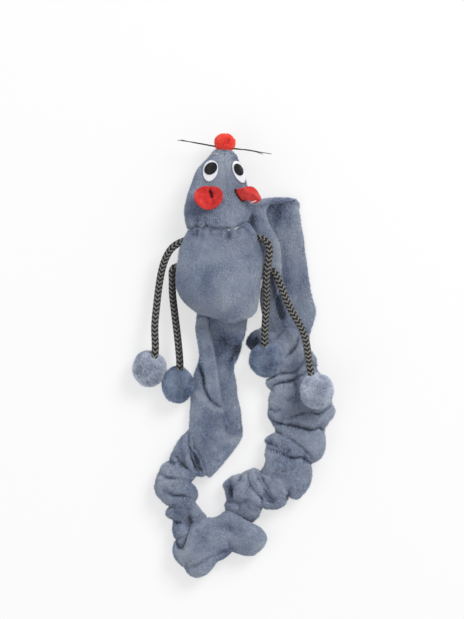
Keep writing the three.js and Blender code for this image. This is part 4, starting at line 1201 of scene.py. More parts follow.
strip_rings = sleeve_rings(
    STRIP_EDGES, 300, 190,
    [(0, 11), (0.06, 9), (0.16, 5.6), (0.3, 5.2), (0.5, 5.8), (0.68, 8.0), (0.82, 9.6), (0.93, 9.2), (1, 7.4)],
    [(0, 4.5), (0.06, 2.6), (0.16, 0.4), (0.3, 0), (1, 0)],
)
strip_rings = rounded_ends(strip_rings, 1.0 * MM, 0.6 * MM)
strip_rings, strip_shade_paint = creased(
    strip_rings,
    [
        ([(199.6, 362), (201.8, 370), (204.2, 378), (206, 388), (209.2, 396.5), (214, 402.5), (219.5, 406)], 1.7,
         0.9, 0.3, 0.3),
        ([(214, 340), (225, 342), (236, 340), (243, 337)], 0.6, 2.6, 0.2, 0.6),
        ([(230, 376), (230.5, 366), (233, 356), (239, 346)], 1.2, 1.7, 0.2, 0.7),
        ([(223, 409), (226, 411.5), (229, 413)], 0.9, 0.6, 0.6, 0.2),
        ([(221.4, 415), (224, 423), (226, 430), (228.5, 434.5)], 0.7, 0.9, 0.8, 0.3),
        ([(226, 434.8), (234, 436), (242, 434)], 0.3, 0.7, 0.6, 0.6),
        ([(196, 428), (205, 441), (211, 456), (213, 468)], 0.4, 2.6, 0.2, 0.2),
    ],
    [
        ((200, 400), 5, 0.8), ((214, 410), 4, 0.9), ((207, 428), 7, 0.7), ((222, 440), 4, 0.6),
        ((205, 335), 3.5, 0.4), ((235, 424), 4, -0.9), ((234, 442), 3.5, 0.5),
    ],
    # The marks: painted shade below the body and in the hollows, and painted highlights along the flap's edge and
    # on the ridges.
    [
        ((227, 338), (12, 7), 0.3), ((238, 350), (4, 10), 0.4), ((231, 367), (5, 6), 0.25),
        ((215, 325), (5, 4), -0.15),
        ((233, 424), (8, 9), 0.1), ((206, 440), (8, 16), 0.14),
        ((225, 447), (7, 9), 0.34), ((215, 455), (6, 10), 0.1), ([(209, 384), (213, 395), (218, 402)], 3.5, 0.25),
        ((204, 424), (10, 6), 0.04),
        ([(200.4, 365), (203.2, 376), (205, 388), (210, 399)], 2, 0.4),
        ([(197, 393), (203, 399), (209, 405.6), (216, 409.4), (222.5, 410)], 3.0, -0.55),
        ([(222, 420), (225, 432), (224.5, 444)], 2.4, -0.25), ([(230, 439.5), (239, 438.5)], 2.6, -0.3),
        ([(206.5, 320), (210.4, 338), (214.6, 356), (216.6, 372), (218.8, 390), (220.8, 404)], 1.3, -0.4),
        ([(193, 380), (190.5, 400), (190.5, 430)], 2, -0.15),
        ([(201, 325), (204, 345), (208, 365)], 4, -0.14), ([(228, 460), (236, 448)], 4, -0.1),
    ],
)
flap_away, _ = line_distance(strip_rings[:, :, :2], np.concatenate([spots(FLAP_EDGE), spots(FLAP_EDGE[:1])]))
flap_in = inside_of(strip_rings[:, :, :2], spots(FLAP_EDGE))
flap_signed = np.where(flap_in, flap_away, -flap_away)
FLAP_EDGE_OUT, FLAP_EDGE_REACH, FLAP_HEIGHT = 0.2 * MM, 1.2 * MM, 2.2 * MM
flap_rise = np.sqrt(np.clip((flap_signed + FLAP_EDGE_OUT) / FLAP_EDGE_REACH, 0, 1)) * FLAP_HEIGHT
strip_top = smooth_step(-0.1, 0.5, ring_normals(strip_rings)[:, :, 2])
# Painted shade on the cloth beside the flap, which lies deeper and in its shade, and on the corner that is
# folded back. Each shade has its outline, how much painted shade it carries, the rows between which it
# changes, and how much of it is left below and above.
for outline, shade_amount, upper_row, lower_row, below, above in (
    ([(207.5, 318), (209, 330), (212.6, 344), (215.6, 356), (217.6, 372), (219.6, 390), (221.4, 404), (224, 408),
      (250, 408), (254, 300), (206, 300)], 0.42, 340, 412, 0, 1),
    ([(221.5, 413), (224, 422), (226.4, 431), (228.5, 435), (243, 434), (250, 425), (246, 405)],
     0.42, 400, 440, 1, 0.5),
):
    away = line_distance(strip_rings[:, :, :2], spots(outline + outline[:1]))[0]
    away = np.where(inside_of(strip_rings[:, :, :2], spots(outline)), away, -away)
    low, high = spot(0, lower_row)[1], spot(0, upper_row)[1]
    left = below + (above - below) * smooth_step(low, high, strip_rings[:, :, 1])
    strip_shade_paint = strip_shade_paint + shade_amount * smooth_step(-0.2 * MM, 0.35 * MM, away) * left * strip_top
flap_fade = 1 - smooth_step(0.017, 0.0195, strip_rings[:, :, 1])
strip_rings[:, :, 2] += flap_rise * strip_top * (0.25 + 0.75 * flap_fade)
strip_rings = on_floor(rumpled(strip_rings, 0.35 * MM, 8 * MM, 3))
sleeve_strip, sleeve_strip_pile = plush("sleeve_strip", strip_rings, 41, nap=1.0, shade_paint=strip_shade_paint)
for piece in (sleeve_strip, sleeve_strip_pile):
    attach(piece, "torso")
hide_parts("sleeve_flat_strip")

LEFT_EDGES = [
    (192, 424, 198, 432), (188.5, 430, 195, 441), (184, 434, 197.5, 450), (180, 438.5, 203, 457),
    (176, 444, 206, 465), (172.5, 451, 207.5, 472), (170, 457, 205, 476.8), (168.3, 461.7, 198, 476.6),
    (164, 464, 195.2, 478), (161, 466.5, 193, 480.5), (158.5, 471, 190.7, 484), (156, 477, 193, 486),
    (154.3, 485, 196.2, 489), (154.6, 491, 197.9, 494), (157, 497, 197.2, 498), (161, 501, 195.8, 501.5),
    (165, 504.5, 197, 504.8), (168, 507.4, 199.3, 508), (165.6, 511, 202.5, 512), (164, 515, 205.5, 515.5),
    (166.6, 518.4, 206.5, 518.5), (171.8, 521.4, 204, 521), (172.3, 527, 200.5, 526), (173, 532, 198, 531),
    (173.6, 537, 195.5, 537), (174.4, 541.2, 192.5, 543), (175.6, 546, 189, 548),
]
left_rings = sleeve_rings(
    LEFT_EDGES, 250, 150,
    [
        (0, 6), (0.08, 7.5), (0.2, 10), (0.3, 12), (0.45, 12.5), (0.55, 12.3), (0.7, 11), (0.82, 9.8), (0.92, 10),
        (1, 8),
    ],
)
left_rings = rounded_ends(left_rings, 1.0 * MM, 2.0 * MM)
left_rings, left_shade_paint = creased(
    left_rings,
    [
        ([(188.5, 436), (189, 444), (191.5, 453), (195, 463), (199, 474)], 3.2, 1.2, 0.6, 0.6),
        ([(192.5, 446), (197.5, 456), (201, 466), (203.5, 474)], 2.6, 1.0, 0.8, 0.8),
        ([(176, 457), (178.5, 461.5), (184.5, 466.5), (191, 472)], 2.4, 1.3, 0.5, 0.3),
        ([(168.3, 461.5), (172, 463.5), (177, 463)], 1.2, 1.2, 1, 0.3),
        ([(159, 473), (163, 476.6), (169, 478.6), (176, 478.8), (182, 479)], 1.3, 1.1, 0.4, 0.1),
        ([(164, 489.5), (168, 493.6), (175, 496), (183, 497), (190, 497.4)], 1.8, 1.2, 0.3, 0.1),
        ([(170.5, 484), (174, 487), (177, 489)], 0.5, 0.8, 0.4, 0.1),
        ([(167.6, 507), (172, 506.4), (177, 506)], 0.9, 1.3, 0.9, 0.1),
        ([(172, 521.6), (177, 523.8), (182, 524)], 1.5, 1.2, 1, 0.2),
        ([(190.5, 512), (189.5, 519), (190, 529)], 1.8, 2.0, 0.2, 0.8),
        ([(190, 528), (188.5, 537), (185.5, 545), (180.5, 549)], 1.6, 0.9, 0.6, 0.6),
        ([(175, 541), (180, 538), (184, 537)], 0.7, 0.9, 0.6, 0.2),
        ([(166, 514), (173, 513), (180, 515)], 0.7, 1.2, 0.8, 0.2),
        ([(181, 442), (180, 450), (183, 457)], 0.8, 1.6, 0.4, 0.2),
    ],
    [
        ((176, 450), 3.5, 0.6), ((165, 470), 3, 0.5), ((168, 485), 4, 0.5), ((182, 531), 2.6, 0.7),
        ((192, 493), 2.5, 0.4),
    ],
    # The marks: painted shade in the hollows between the puffs, and painted light on the puffs.
    [
        ((181, 460), (4, 6), 0.3), ((198, 462), (5, 14), 0.45), ((169, 491), (5, 4), 0.3),
        ((191, 523), (7, 8), 0.5),
        ((188.8, 508.7), (2.2, 2.2), 0.35), ((196, 488), (3, 5), 0.2), ((185, 505), (10, 6), 0.12),
        ((178, 512), (8, 7), 0.2), ((160, 484), (4, 12), -0.2), ((172, 486), (14, 20), -0.1),
        ((178, 474), (9, 5), -0.24), ((183, 532), (5, 6), -0.2), ((168, 484), (8, 5), -0.2),
        ((174, 446), (5, 7), -0.12),
    ],
)
left_rings = rumpled(left_rings, 0.55 * MM, 5.5 * MM, 4)
left_rings = on_floor(rumpled(left_rings, 0.22 * MM, 2 * MM, 4))
sleeve_left, sleeve_left_pile = plush("sleeve_left", left_rings, 42, shade_paint=left_shade_paint)
for piece in (sleeve_left, sleeve_left_pile):
    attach(piece, "torso")
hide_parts("sleeve_gather_left")

FOLD_EDGES = [
    (176, 543, 174.5, 545), (177.5, 547, 173, 550.5), (180.5, 549.5, 173.5, 556.5), (184.5, 547.5, 177, 562.5),
    (187.7, 541, 181, 566.5), (189.7, 533, 184.5, 569), (192.7, 525, 187.5, 573.5), (197, 520.6, 192, 577.5),
    (203, 518.5, 198, 578.5), (209, 518, 205, 575.3), (214, 517.7, 211, 570), (219, 516, 216.5, 563.7),
    (224, 512, 223, 560.5), (228, 510.6, 229, 556), (233, 511.5, 232.5, 553.2), (239, 515.5, 238, 554.3),
    (245, 519.5, 245, 556), (251, 522.8, 252, 556.3), (256, 525.5, 257, 554), (260.6, 529, 261, 551),
    (263.6, 532.8, 263.8, 547.6), (265, 536.4, 265, 543.6),
]
fold_rings = sleeve_rings(
    FOLD_EDGES, 190, 130,
    [(0, 8), (0.08, 10.5), (0.2, 12.8), (0.35, 13.2), (0.5, 12.6), (0.65, 12.0), (0.8, 12.4), (0.93, 11), (1, 8)],
)
fold_rings = rounded_ends(fold_rings, 0.8 * MM, 0.3 * MM)
fold_rings, fold_shade_paint = creased(
    fold_rings,
    [
        ([(186, 567.6), (191, 567.2), (196.5, 565.2), (202, 562), (208, 559.4), (214, 557), (220, 554.4),
          (226, 551)], 1.3, 1.0, 0.3, 0.5),
        ([(211, 560.5), (218, 556.5), (226, 551), (232, 548)], 0.6, 0.8, 0.3, 0.2),
        ([(199, 524), (200, 536), (203, 548)], 1.0, 2.4, 0.3, 0.2),
        ([(211, 527), (222, 529), (235, 530), (248, 531)], 0.9, 2.6, 0.2, 0.2),
        ([(232, 553), (229, 545), (226, 537)], 0.7, 1.4, 0.8, 0.1),
        ([(254, 538), (257, 544), (257, 551)], 0.5, 1.8, 0.2, 0.4),
        ([(184.5, 569), (186, 562), (190, 556)], 0.6, 1.4, 0.8, 0.1),
    ],
    [((193, 545), 4, 0.6), ((212, 540), 5, 0.6), ((200, 571), 4, 0.5), ((244, 545), 5, 0.5), ((262, 540), 3, 0.4)],
    # The marks: painted shade in the valleys, and painted light along the rims.
    [
        ((200, 541), (7, 11), 0.2), ((226, 527), (18, 6), 0.14), ((247, 533), (12, 6), 0.1),
        ((224, 552), (6, 3), 0.3), ((214, 542), (14, 10), -0.12),
        ((194, 570), (7, 6), 0.12), ((208, 570), (9, 4), -0.2), ((262, 546), (6, 8), -0.2),
        ((182, 558), (7, 11), -0.45),
        ((210, 520), (14, 3), -0.12), ((240, 553), (12, 3), -0.1),
    ],
)
fold_rings = on_floor(rumpled(fold_rings, 0.4 * MM, 7 * MM, 5))
sleeve_fold, sleeve_fold_pile = plush("sleeve_fold", fold_rings, 43, nap=1.0, shade_paint=fold_shade_paint)
for piece in (sleeve_fold, sleeve_fold_pile):
    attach(piece, "torso")
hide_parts("sleeve_lowest_fold")

# The right-hand run, from under the lowest fold to the hand loop. It is made in two lengths, a lower
# and an upper one.
RIGHT_EDGES = [
    (230, 519, 246, 528), (226.5, 513, 253, 523), (225, 508, 258, 518.5), (224.6, 504.5, 261, 513),
    (226, 500.5, 262.6, 509), (225, 494.5, 263, 506.6), (223.2, 488, 266, 508.4), (222.6, 484.5, 271, 509.8),
    (225, 481, 277, 509.7), (230.5, 477, 282.5, 507.4), (237.5, 474.6, 286.3, 503.8), (244, 471.8, 288.4, 500),
    (250, 469.7, 289, 497.8), (254, 469.2, 293, 498.9), (257, 470.3, 297.5, 499), (259.5, 471.7, 302, 497),
    (262, 468, 306, 492.2), (264.5, 463.5, 310, 485), (265.7, 459, 312.1, 478), (265.3, 454, 312.5, 471.5),
    (265.4, 449.5, 311.9, 465), (266, 446, 317, 461.2), (264.9, 443, 322, 457.3), (263.6, 440.6, 325, 452),
    (266, 437.6, 326.4, 446), (270, 435.8, 326, 440), (273.8, 433.6, 325.4, 434.8), (274.5, 429.6, 326.1, 428),
    (272.6, 425.6, 328.6, 423.4), (269.6, 422, 332.2, 419), (267.5, 418, 335, 414), (267, 413.5, 336.2, 410),
    (267.5, 408.5, 335, 406), (268, 403.5, 333, 402), (268.5, 398, 331, 396), (269.5, 393.7, 329, 391),
    (270.4, 391.4, 327, 387), (268.5, 388.5, 325, 383), (266, 385, 323, 379), (265.7, 382.4, 320.5, 375),
    (267, 379.6, 318.6, 371), (268.6, 377.8, 317.6, 367.5), (266, 374, 317.8, 363.5), (262, 369, 317, 359),
    (257, 362, 314, 354), (252, 354, 311, 350), (247, 347, 310, 345.5), (245.5, 342.5, 309.5, 341.5),
    (247.5, 336.5, 309, 337.5), (252, 332, 307, 334), (258, 330, 303, 331),
]
right_rings = sleeve_rings(
    RIGHT_EDGES, 440, 180,
    [
        (0, 4.5), (0.03, 7), (0.07, 10.5), (0.12, 12), (0.3, 13), (0.55, 12.6), (0.66, 11.4), (0.78, 10.8),
        (0.88, 10), (0.94, 8.2), (1, 6),
    ],
)
right_rings = rounded_ends(right_rings, 1.0 * MM, 1.2 * MM)
right_rings, right_shade_paint = creased(
    right_rings,
    [
        ([(240, 473.5), (239, 477), (236.6, 483)], 2.2, 1.2, 1, 0.2),
        ([(227, 479), (230, 487), (230, 495), (227, 501)], 2.0, 1.7, 0.5, 0.9),
        ([(226, 500.5), (232, 503), (240, 503.5), (249, 502)], 0.9, 1.4, 1, 0.1),
        ([(247, 471), (248, 479), (251, 487), (255.4, 493.6), (260, 499), (263, 506.6)], 1.8, 0.9, 0.5, 1),
        ([(251, 470.4), (252, 478), (255.4, 486), (259.4, 492)], 0.7, 0.8, 0.6, 0.1),
        ([(255, 471), (258.4, 480), (263, 488), (268, 495.6), (273.4, 502.6)], 1.5, 0.9, 0.6, 0.6),
        ([(261, 491), (265, 498), (270, 503.6)], 0.9, 0.8, 0.3, 0.3),
        ([(259.5, 472.5), (263, 480.6), (267.6, 488.6), (271, 495)], 1.2, 0.9, 1, 0.2),
        ([(265, 501), (270, 502.5), (277, 503)], 1.0, 1.0, 0.5, 0.1),
        ([(289, 498), (288, 492), (285.6, 487)], 1.6, 1.2, 1, 0.1),
        ([(311.9, 464.6), (307, 461.5), (302, 458.3), (293, 458.8), (285.5, 456.4), (279.4, 452.4), (272.6, 450.4),
          (266, 449)], 1.7, 0.9, 0.7, 0.5),
        ([(304, 457), (305, 462), (303, 467)], 1.1, 0.8, 0.8, 0.1),
        ([(286, 456.5), (288, 452), (291, 448)], 0.8, 0.9, 0.6, 0.1),
        ([(263.6, 440.6), (269, 443), (275, 445.5), (281, 449)], 1.4, 1.0, 1, 0.1),
        ([(281, 435.6), (291, 440), (302, 448.5), (309.6, 455.6), (311, 459)], 0.9, 0.9, 0.3, 0.8),
        ([(269, 438.6), (272, 442), (273.4, 446.4)], 1.0, 0.9, 0.6, 0.2),
        ([(273.9, 431.5), (280, 434), (286, 435)], 0.9, 1.0, 1, 0.1),
        ([(269.6, 421), (276, 424.3), (283, 425.3), (291, 425.8), (299, 427.6), (306, 429.8), (313, 430.6),
          (321, 429), (326, 431.5)], 3.0, 1.1, 1, 0.8),
        ([(283, 419), (290, 418), (298, 415.6), (306, 412.8), (313, 412.6), (320, 413.6), (326, 410.5), (331, 407)],
         2.6, 1.1, 0.3, 0.6),
        ([(268, 410), (275, 411.5), (283, 409.5)], 1.1, 1.0, 0.9, 0.1),
        ([(270.4, 391.4), (273.5, 387), (279, 384), (286, 382.6), (294, 380.6), (302, 376), (309, 370)], 2.4, 1.0,
         1, 0.6),
        ([(268.6, 377.8), (275, 375.8), (282, 374.2), (290, 373.4), (298, 370), (304, 363)], 2.2, 1.0, 1, 0.4),
        ([(296, 374), (295.5, 384), (296.5, 394), (299, 402)], 2.2, 1.7, 0.6, 0.4),
        ([(287, 358), (291.5, 353), (297, 345.5), (299, 339)], 2.4, 1.1, 0.4, 0.5),
        ([(305, 345), (306, 355), (304, 366)], 1.4, 1.4, 0.5, 0.4),
        ([(274, 342), (279, 337), (283.5, 331)], 1.5, 1.0, 0.3, 0.8),
        ([(257, 337), (256, 345), (252, 352)], 2.2, 1.6, 0.7, 0.6),
        ([(281, 398), (288, 400), (296, 399)], 0.7, 1.4, 0.2, 0.4),
        ([(319, 371), (315, 366), (311, 362)], 1.2, 1.0, 0.8, 0.2),
    ],
    [
        ((240, 490), 4, 0.6), ((277, 497), 3.5, 0.8), ((298, 484), 5.5, 0.8), ((285, 470), 5, 0.5),
        ((297, 438), 5, 0.6), ((315, 448), 4, 0.6), ((300, 421), 3.5, 0.7), ((324, 420), 3, 0.6),
        ((282, 402), 4.5, 0.7), ((278, 392), 4, 0.4), ((280, 379), 2.5, 0.6), ((280, 362), 6, 0.9),
        ((291, 346), 3, 0.7), ((312, 401), 4, 0.5),
    ],
    # The marks: painted shade in the hollows, darkest in the shadowed corner behind the arm's paw, and painted
    # light on some puffs.
    [
        ((279, 474), (10, 6), 0.5), ((292, 441), (14, 7), 0.16), ((277, 401), (8, 6), 0.12),
        ((227.6, 490), (4.5, 10), 0.8),
        ((297, 388), (5, 14), 0.3), ((268, 444), (5, 7), 0.35), ((271, 423), (6, 4), 0.45),
        ((250, 342), (6, 12), 1.3),
        ((239, 481), (5, 5), 0.3), ((243, 505), (12, 6), 0.16), ((303, 428), (14, 4), 0.2),
        ((297, 452), (14, 4), 0.16),
        ((290, 412), (14, 4), 0.16), ((281, 385), (12, 4), 0.22), ((300, 352), (5, 12), 0.3),
        ((292, 365), (6, 6), 0.2),
        ((271, 499), (5, 5), 0.4), ((249, 508), (6, 5), 0.25), ((309, 431), (4, 2.4), 0.5),
        ((304, 480), (6, 12), -0.14), ((277, 503), (10, 4), -0.12), ((306, 441), (10, 5), -0.12),
        ((326, 418), (7, 7), -0.14), ((255, 513), (9, 6), -0.1), ((247.5, 490), (3.5, 12), 0.5),
        ((280, 360), (8, 8), -0.1),
    ],
)
right_rings = rumpled(right_rings, 0.55 * MM, 5.5 * MM, 6)
right_rings = on_floor(rumpled(right_rings, 0.22 * MM, 2 * MM, 6))
# They meet where the run's middle reaches this height, past the rings of its turn.
SPLIT_Y, PAST_THE_TURN = -52 * MM, 90
split_distance = np.abs(right_rings[:, :, 1].mean(1) - SPLIT_Y)
right_split = int(np.argmin(split_distance + (np.arange(len(right_rings)) < PAST_THE_TURN)))
swing_start, swing_end = (0.0105, -0.0755, 0.0), (0.0235, -0.0625, 0.0)
pull_start, pull_end = (0.030, -0.050, 0.0), (0.030, 0.004, 0.0)
for name, share, seed, length, core in (
    ("sleeve_right_lower", slice(0, right_split + 1), 44, 0.055, "elastic_in_turn"),
    ("sleeve_right_upper", slice(right_split, None), 45, 0.095, "elastic_in_run"),
):
    cloth, pile = plush(name, right_rings[share], seed, nap=1.0, shade_paint=right_shade_paint[share])
    for piece in (cloth, pile):
        if name == "sleeve_right_lower":
            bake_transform(piece)
            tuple(swing_start)
            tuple(swing_end)
        else:
            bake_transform(piece)
            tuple(pull_start)
            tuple(pull_end)
    if name == "sleeve_right_upper":
        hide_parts("sleeve_gather_right")


# Elastic: one round elastic, covered with pale yarn, that runs along the inside of the gathers. Here
# it is in three lengths: in the fold, in the turn and in the run.

elastic_material = fibre_material(
    "covered_elastic", (0.45, 0.44, 0.41), (0.62, 0.60, 0.56), (0.74, 0.72, 0.68), 0.1, patch=500, fleck=3000,
    bump=0.5,
)
ELASTIC_SHARES = [
    (-0.185, -0.55), (-0.217, -0.59), (-0.246, -0.655), (-0.232, -0.701), (-0.204, -0.744), (-0.172, -0.8),
    (-0.09, -0.845), (0, -0.845), (0.09, -0.82), (0.13, -0.765), (0.142, -0.69), (0.227, -0.639),
    (0.337, -0.588), (0.4, -0.522), (0.425, -0.448), (0.448, -0.37), (0.442, -0.292), (0.44, -0.222),
    (0.442, -0.16),
]
SLEEVE_SPAN, SLEEVE_DROP, ELASTIC_HEIGHT, ELASTIC_RADIUS = 84 * MM, 119.2 * MM, 5.46 * MM, 1.0 * MM
ELASTIC_TURN, ELASTIC_STRETCH = (3.3 * MM, -79.9 * MM), (24.5 * MM, -52.5 * MM)
elastic_line = smooth_line(
    [(BODY_X + x * SLEEVE_SPAN, BODY_BASE_Y + y * SLEEVE_DROP, ELASTIC_HEIGHT) for x, y in ELASTIC_SHARES], 260,
)
turn_at, stretch_at = (
    int(np.argmin(np.linalg.norm(elastic_line[:, :2] - np.array(place), axis=1)))
    for place in (ELASTIC_TURN, ELASTIC_STRETCH)
)
for name, low, high in (
    ("elastic_in_fold", 0, turn_at), ("elastic_in_turn", turn_at, stretch_at),
    ("elastic_in_run", stretch_at, len(elastic_line) - 1),
):
    part = elastic_line[low : high + 1]
    piece = tube_mesh(name, part, np.full(len(part), ELASTIC_RADIUS), 10, elastic_material)
    if name == "elastic_in_fold":
        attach(piece, "torso")
        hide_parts("elastic_lower")
    elif name == "elastic_in_turn":
        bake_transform(piece)
        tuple(swing_start)
        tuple(swing_end)
    else:
        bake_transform(piece)
        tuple(pull_start)
        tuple(pull_end)
        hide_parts("elastic_upper")


# Hand loop: a flat strap of doubled plush, turned over at the level of the head. Both its ends are
# caught in the end of the sleeve.

# Left and right edge of the strap in picture places, and the height of each in millimetres.
BACK_STRAP = [
    (279, 345, 3.2, 309, 343, 3.2), (278, 335, 2.4, 311, 332, 2.6), (277, 322, 1.8, 314.8, 321, 1.9),
    (273, 310, 1.6, 316.6, 311, 1.7), (272, 298, 1.6, 314.4, 300, 1.7), (272, 285, 1.6, 311.8, 287, 1.7),
    (271.5, 270, 1.6, 309, 271, 1.7), (270, 255, 1.6, 306.4, 255, 1.7), (268, 240, 1.6, 304.4, 240, 1.7),
    (265.5, 225, 1.7, 302.2, 225, 1.7), (263.5, 211, 2.0, 301, 212, 1.8), (262.4, 203, 2.8, 301.2, 204, 2.1),
]
FRONT_STRAP = [
    (256, 201.6, 9.0, 297, 199.2, 4.4), (251.5, 205, 9.2, 278, 200.6, 5.6), (247.5, 210, 9.3, 269, 205, 7.0),
    (245, 216, 9.3, 266.5, 212, 7.8), (245, 223, 9.3, 268, 220.5, 8.4), (247.5, 231, 9.3, 273, 229.5, 8.9),
    (252, 240, 9.3, 278.6, 239.5, 9.2), (258, 251, 9.3, 281.6, 250, 9.3), (261, 264, 9.3, 282, 264, 9.3),
    (261.5, 277, 9.1, 281.6, 277, 9.1), (260.5, 288, 8.6, 279, 289, 8.6), (260, 300, 7.8, 275.6, 300, 7.8),
    (261, 311, 7.0, 276.5, 311, 7.0), (264, 321, 6.2, 280.5, 321, 6.2), (268, 331, 5.4, 284, 330, 5.4),
    (272, 341, 4.8, 284, 339, 4.8),
]
STRAP_SIDES, STRAP_HALF, TURN_STEPS = 90, 1.05 * MM, 26


def strap_section(count):
    """A flat strap's section with rounded edges, as places across and through it from -1 to 1."""
    angle = 2 * np.pi * np.arange(count) / count
    return bulge(np.cos(angle), 0.55), bulge(np.sin(angle), 0.75)


def strap_edges(table):
    return [(*spot(a, b), e * MM, *spot(c, d), f * MM) for a, b, e, c, d, f in table]


back = smooth_line(strap_edges(BACK_STRAP), 120)
front = smooth_line(strap_edges(FRONT_STRAP), 140)
bend = []
for step in range(1, TURN_STEPS):
    angle = math.pi * step / TURN_STEPS
    station = back[-1] + (front[0] - back[-1]) * (1 - math.cos(angle)) / 2
    out = math.sin(angle)
    station[1] += 1.2 * MM * out
    station[4] += 0.6 * MM * out
    bend.append(station)
stations = np.concatenate([back, np.array(bend), front])
left, right = stations[:, :3], stations[:, 3:]
middle = (left + right) / 2
across = right - left
half = np.linalg.norm(across, axis=1) / 2
across /= (2 * half)[:, None]
heading = np.gradient(middle, axis=0)
heading /= np.linalg.norm(heading, axis=1, keepdims=True)
through = np.cross(across, heading)
through /= np.linalg.norm(through, axis=1, keepdims=True)
place_across, place_through = strap_section(STRAP_SIDES)
loop_rings = (
    middle[:, None, :]
    + ((half - PILE_ROOM)[:, None] * place_across)[:, :, None] * across[:, None, :]
    + (STRAP_HALF * place_through)[None, :, None] * through[:, None, :]
)
# Soft lengthwise folds of the strap, which lies a little rolled at its edges.
loop_along = np.linspace(0, 1, len(stations))[:, None]
loop_wave = (
    0.5 * np.exp(-(((place_across - 0.25 - 0.2 * loop_along) / 0.16) ** 2))
    - 0.45 * np.exp(-(((place_across + 0.35) / 0.2) ** 2))
    + 0.7 * np.exp(-(((place_across - 0.85) / 0.25) ** 2))
) * MM
loop_rings += 0.6 * through[:, None, :] * np.abs(loop_wave)[:, :, None]
# The left corner of the turned-over end slopes away.
loop_corner = smooth_step(spot(269.5, 0)[0], spot(257, 0)[0], loop_rings[:, :, 0])
loop_corner *= smooth_step(spot(0, 212)[1], spot(0, 203)[1], loop_rings[:, :, 1])
loop_rings[:, :, 1] -= 3.5 * PIXEL * loop_corner
loop_rings[:, :, 0] -= 5.0 * PIXEL * loop_corner
loop_rings = rounded_ends(loop_rings, 0.6 * MM, 0.6 * MM)
loop_rings, loop_shade_paint = creased(
    loop_rings, [], [],
    # Painted shade on the strap beside and under the front strap and between the cords, and painted light along its
    # right edge.
    [
        ((277, 218), (6, 16), 0.3), ((285, 210), (11, 14), 0.55), ((290, 216), (3, 20), 0.2),
        ((286, 266), (4, 28), 0.34),
        ([(297.6, 204), (299.6, 220), (302, 242)], 2.0, -0.35), ((301, 280), (5, 24), 0.16),
        ((312, 310), (4, 20), -0.14), ((252, 224), (6, 14), 0.8), ((258, 206), (8, 4), 0.2),
        ((278, 255), (3, 24), -0.16),
        ((304, 330), (8, 12), 0.1), ((266, 262), (5, 26), 0.3), ((270, 222), (3, 9), -0.18),
        ([(277.5, 298), (280, 306), (283, 316)], 4, 1.0), ([(271.6, 277), (273.2, 286), (275.6, 296)], 2, 0.8),
        ([(278, 208), (281, 234), (286, 262), (288, 290)], 7, 0.26), ([(299, 294), (300, 312)], 2, 0.2),
        ([(293, 212), (297, 250), (300, 280)], 2.4, -0.1),
        ((290, 330), (8, 10), 0.2),
        ((272, 322), (8, 8), 0.2),
    ],
)
loop_rings = on_floor(rumpled(loop_rings, 0.4 * MM, 9 * MM, 7))
hand_loop_strap, hand_loop_pile = plush("hand_loop_strap", loop_rings, 46, shade_paint=loop_shade_paint)
for piece in (hand_loop_strap, hand_loop_pile):
    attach(piece, "loop")
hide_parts("hand_loop")


# Filling: loose white fibre, pushed into the head and the body before they are sewn shut, and a thin
# cloth pouch of dried herb in the middle of the body.

filling_material = fibre_material(
    "loose_fibre", (0.7, 0.7, 0.68), (0.82, 0.82, 0.8), (0.9, 0.9, 0.88), 0.3, patch=300, fleck=2000, bump=0.6,
)
herb_material = fibre_material(
    "herb_pouch", (0.09, 0.12, 0.04), (0.2, 0.25, 0.09), (0.33, 0.38, 0.16), 0.1, patch=500, fleck=3000, bump=0.6,
)
herb_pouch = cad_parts["catnip_pouch"]
herb_pouch.data.materials.clear()
herb_pouch.data.materials.append(herb_material)
# The fibre is pressed in wherever the seams draw the skin in further than its own solid reaches.
STUFFING_ROOM = 0.8 * MM
for node, name, skin, body in (
    ("body_filling", "body_stuffing", body_skin, "torso"), ("head_filling", "head_stuffing", head_skin, "head"),
):
    stuffing = new_object(name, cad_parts[node].data.copy())
    loose = bmesh.new()
    loose.from_mesh(stuffing.data)
    bmesh.ops.remove_doubles(loose, verts=loose.verts, dist=0.01 * MM)
    inside_skin = BVHTree.FromPolygons(
        [corner.co for corner in skin.data.vertices], [face.vertices for face in skin.data.polygons],
    )
    for corner in loose.verts:
        where, outwards = inside_skin.find_nearest(corner.co)[:2]
        if (corner.co - where).dot(outwards) > -STUFFING_ROOM:
            corner.co = where - outwards * STUFFING_ROOM
    loose.to_mesh(stuffing.data)
    loose.free()
    stuffing.data.materials.clear()
    stuffing.data.materials.append(filling_material)
    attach(stuffing, body)
    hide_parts(node)


# Studio: a plain white floor, soft light from above and from the upper right, and a camera that
# looks straight down on the toy.

FRAME_WIDTH, FRAME_HEIGHT = 464, 619
floor_material = plain_material("floor_paper", (0.86, 0.86, 0.87), 0.9, 0.1)
floor_paint = floor_material.node_tree
floor_shader = floor_paint.nodes["Principled BSDF"]
floor_where = node_at(floor_paint, "ShaderNodeTexCoord").outputs["Object"]
floor_grain = node_at(floor_paint, "ShaderNodeTexNoise", {"Vector": floor_where, "Scale": 900})
floor_bump = node_at(floor_paint, "ShaderNodeBump", {"Strength": 0.03, "Height": floor_grain.outputs["Fac"]})
floor_paint.links.new(floor_bump.outputs["Normal"], floor_shader.inputs["Normal"])
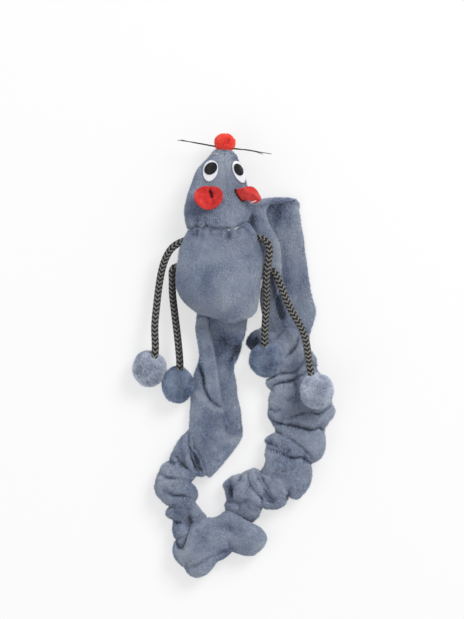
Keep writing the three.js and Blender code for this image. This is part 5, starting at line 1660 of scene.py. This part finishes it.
# The camera sees the paper lit through: it stays near white, and the toy's shadow on it stays soft.
floor_glow = node_at(floor_paint, "ShaderNodeEmission", {"Color": (1, 1, 1, 1)})
floor_rays = node_at(floor_paint, "ShaderNodeLightPath").outputs
floor_seen = maths(floor_paint, "MAXIMUM", floor_rays["Is Camera Ray"], floor_rays["Is Glossy Ray"])
floor_blend = node_at(
    floor_paint, "ShaderNodeMixShader",
    {
        0: maths(floor_paint, "MULTIPLY", floor_seen, 0.6), 1: floor_shader.outputs["BSDF"],
        2: floor_glow.outputs["Emission"],
    },
)
floor_paint.links.new(floor_blend.outputs["Shader"], floor_paint.nodes["Material Output"].inputs["Surface"])
floor = mesh_object(
    "floor", [(-3, -3, 0), (3, -3, 0), (3, 3, 0), (-3, 3, 0)], [(0, 1, 2, 3)], floor_material,
)

world = bpy.data.worlds.new("studio")
bpy.context.scene.world = world
world.use_nodes = True
room = world.node_tree
lit_room = room.nodes["Background"]
lit_room.inputs["Color"].default_value = (1, 1, 1, 1)
lit_room.inputs["Strength"].default_value = 0.62
# What the camera sees past the paper is white too; the toy is lit by the softer room.
seen_room = node_at(room, "ShaderNodeBackground", {"Color": (1, 1, 1, 1), "Strength": 1})
room_rays = node_at(room, "ShaderNodeLightPath")
room_blend = node_at(
    room, "ShaderNodeMixShader",
    {0: room_rays.outputs["Is Camera Ray"], 1: lit_room.outputs[0], 2: seen_room.outputs[0]},
)
room.links.new(room_blend.outputs[0], room.nodes["World Output"].inputs["Surface"])


def soft_box(name, place, size, power):
    data = bpy.data.lights.new(name, "AREA")
    data.shape = "SQUARE"
    data.size = size
    data.energy = power
    lamp = new_object(name, data)
    lamp.location = place
    lamp.rotation_mode = "QUATERNION"
    lamp.rotation_quaternion = (-Vector(place)).to_track_quat("-Z", "Y")


soft_box("key_light", (0.75, 0.85, 1.15), 0.7, 15.0)
soft_box("fill_light", (-0.9, -0.5, 1.2), 1.0, 4.0)

camera_data = bpy.data.cameras.new("camera")
camera_data.lens = 300
camera_data.sensor_width = 36
camera = new_object("camera", camera_data)
centre_x, centre_y = spot(FRAME_WIDTH / 2, FRAME_HEIGHT / 2)
SHARP_HEIGHT = 13 * MM
camera_rise = FRAME_HEIGHT * PIXEL / 2 / (camera_data.sensor_width / 2 / camera_data.lens)
camera.location = (centre_x, centre_y, SHARP_HEIGHT + camera_rise)
camera_data.clip_start, camera_data.clip_end = 0.1, 30
bpy.context.scene.camera = camera
bpy.context.scene.view_settings.view_transform = "Standard"
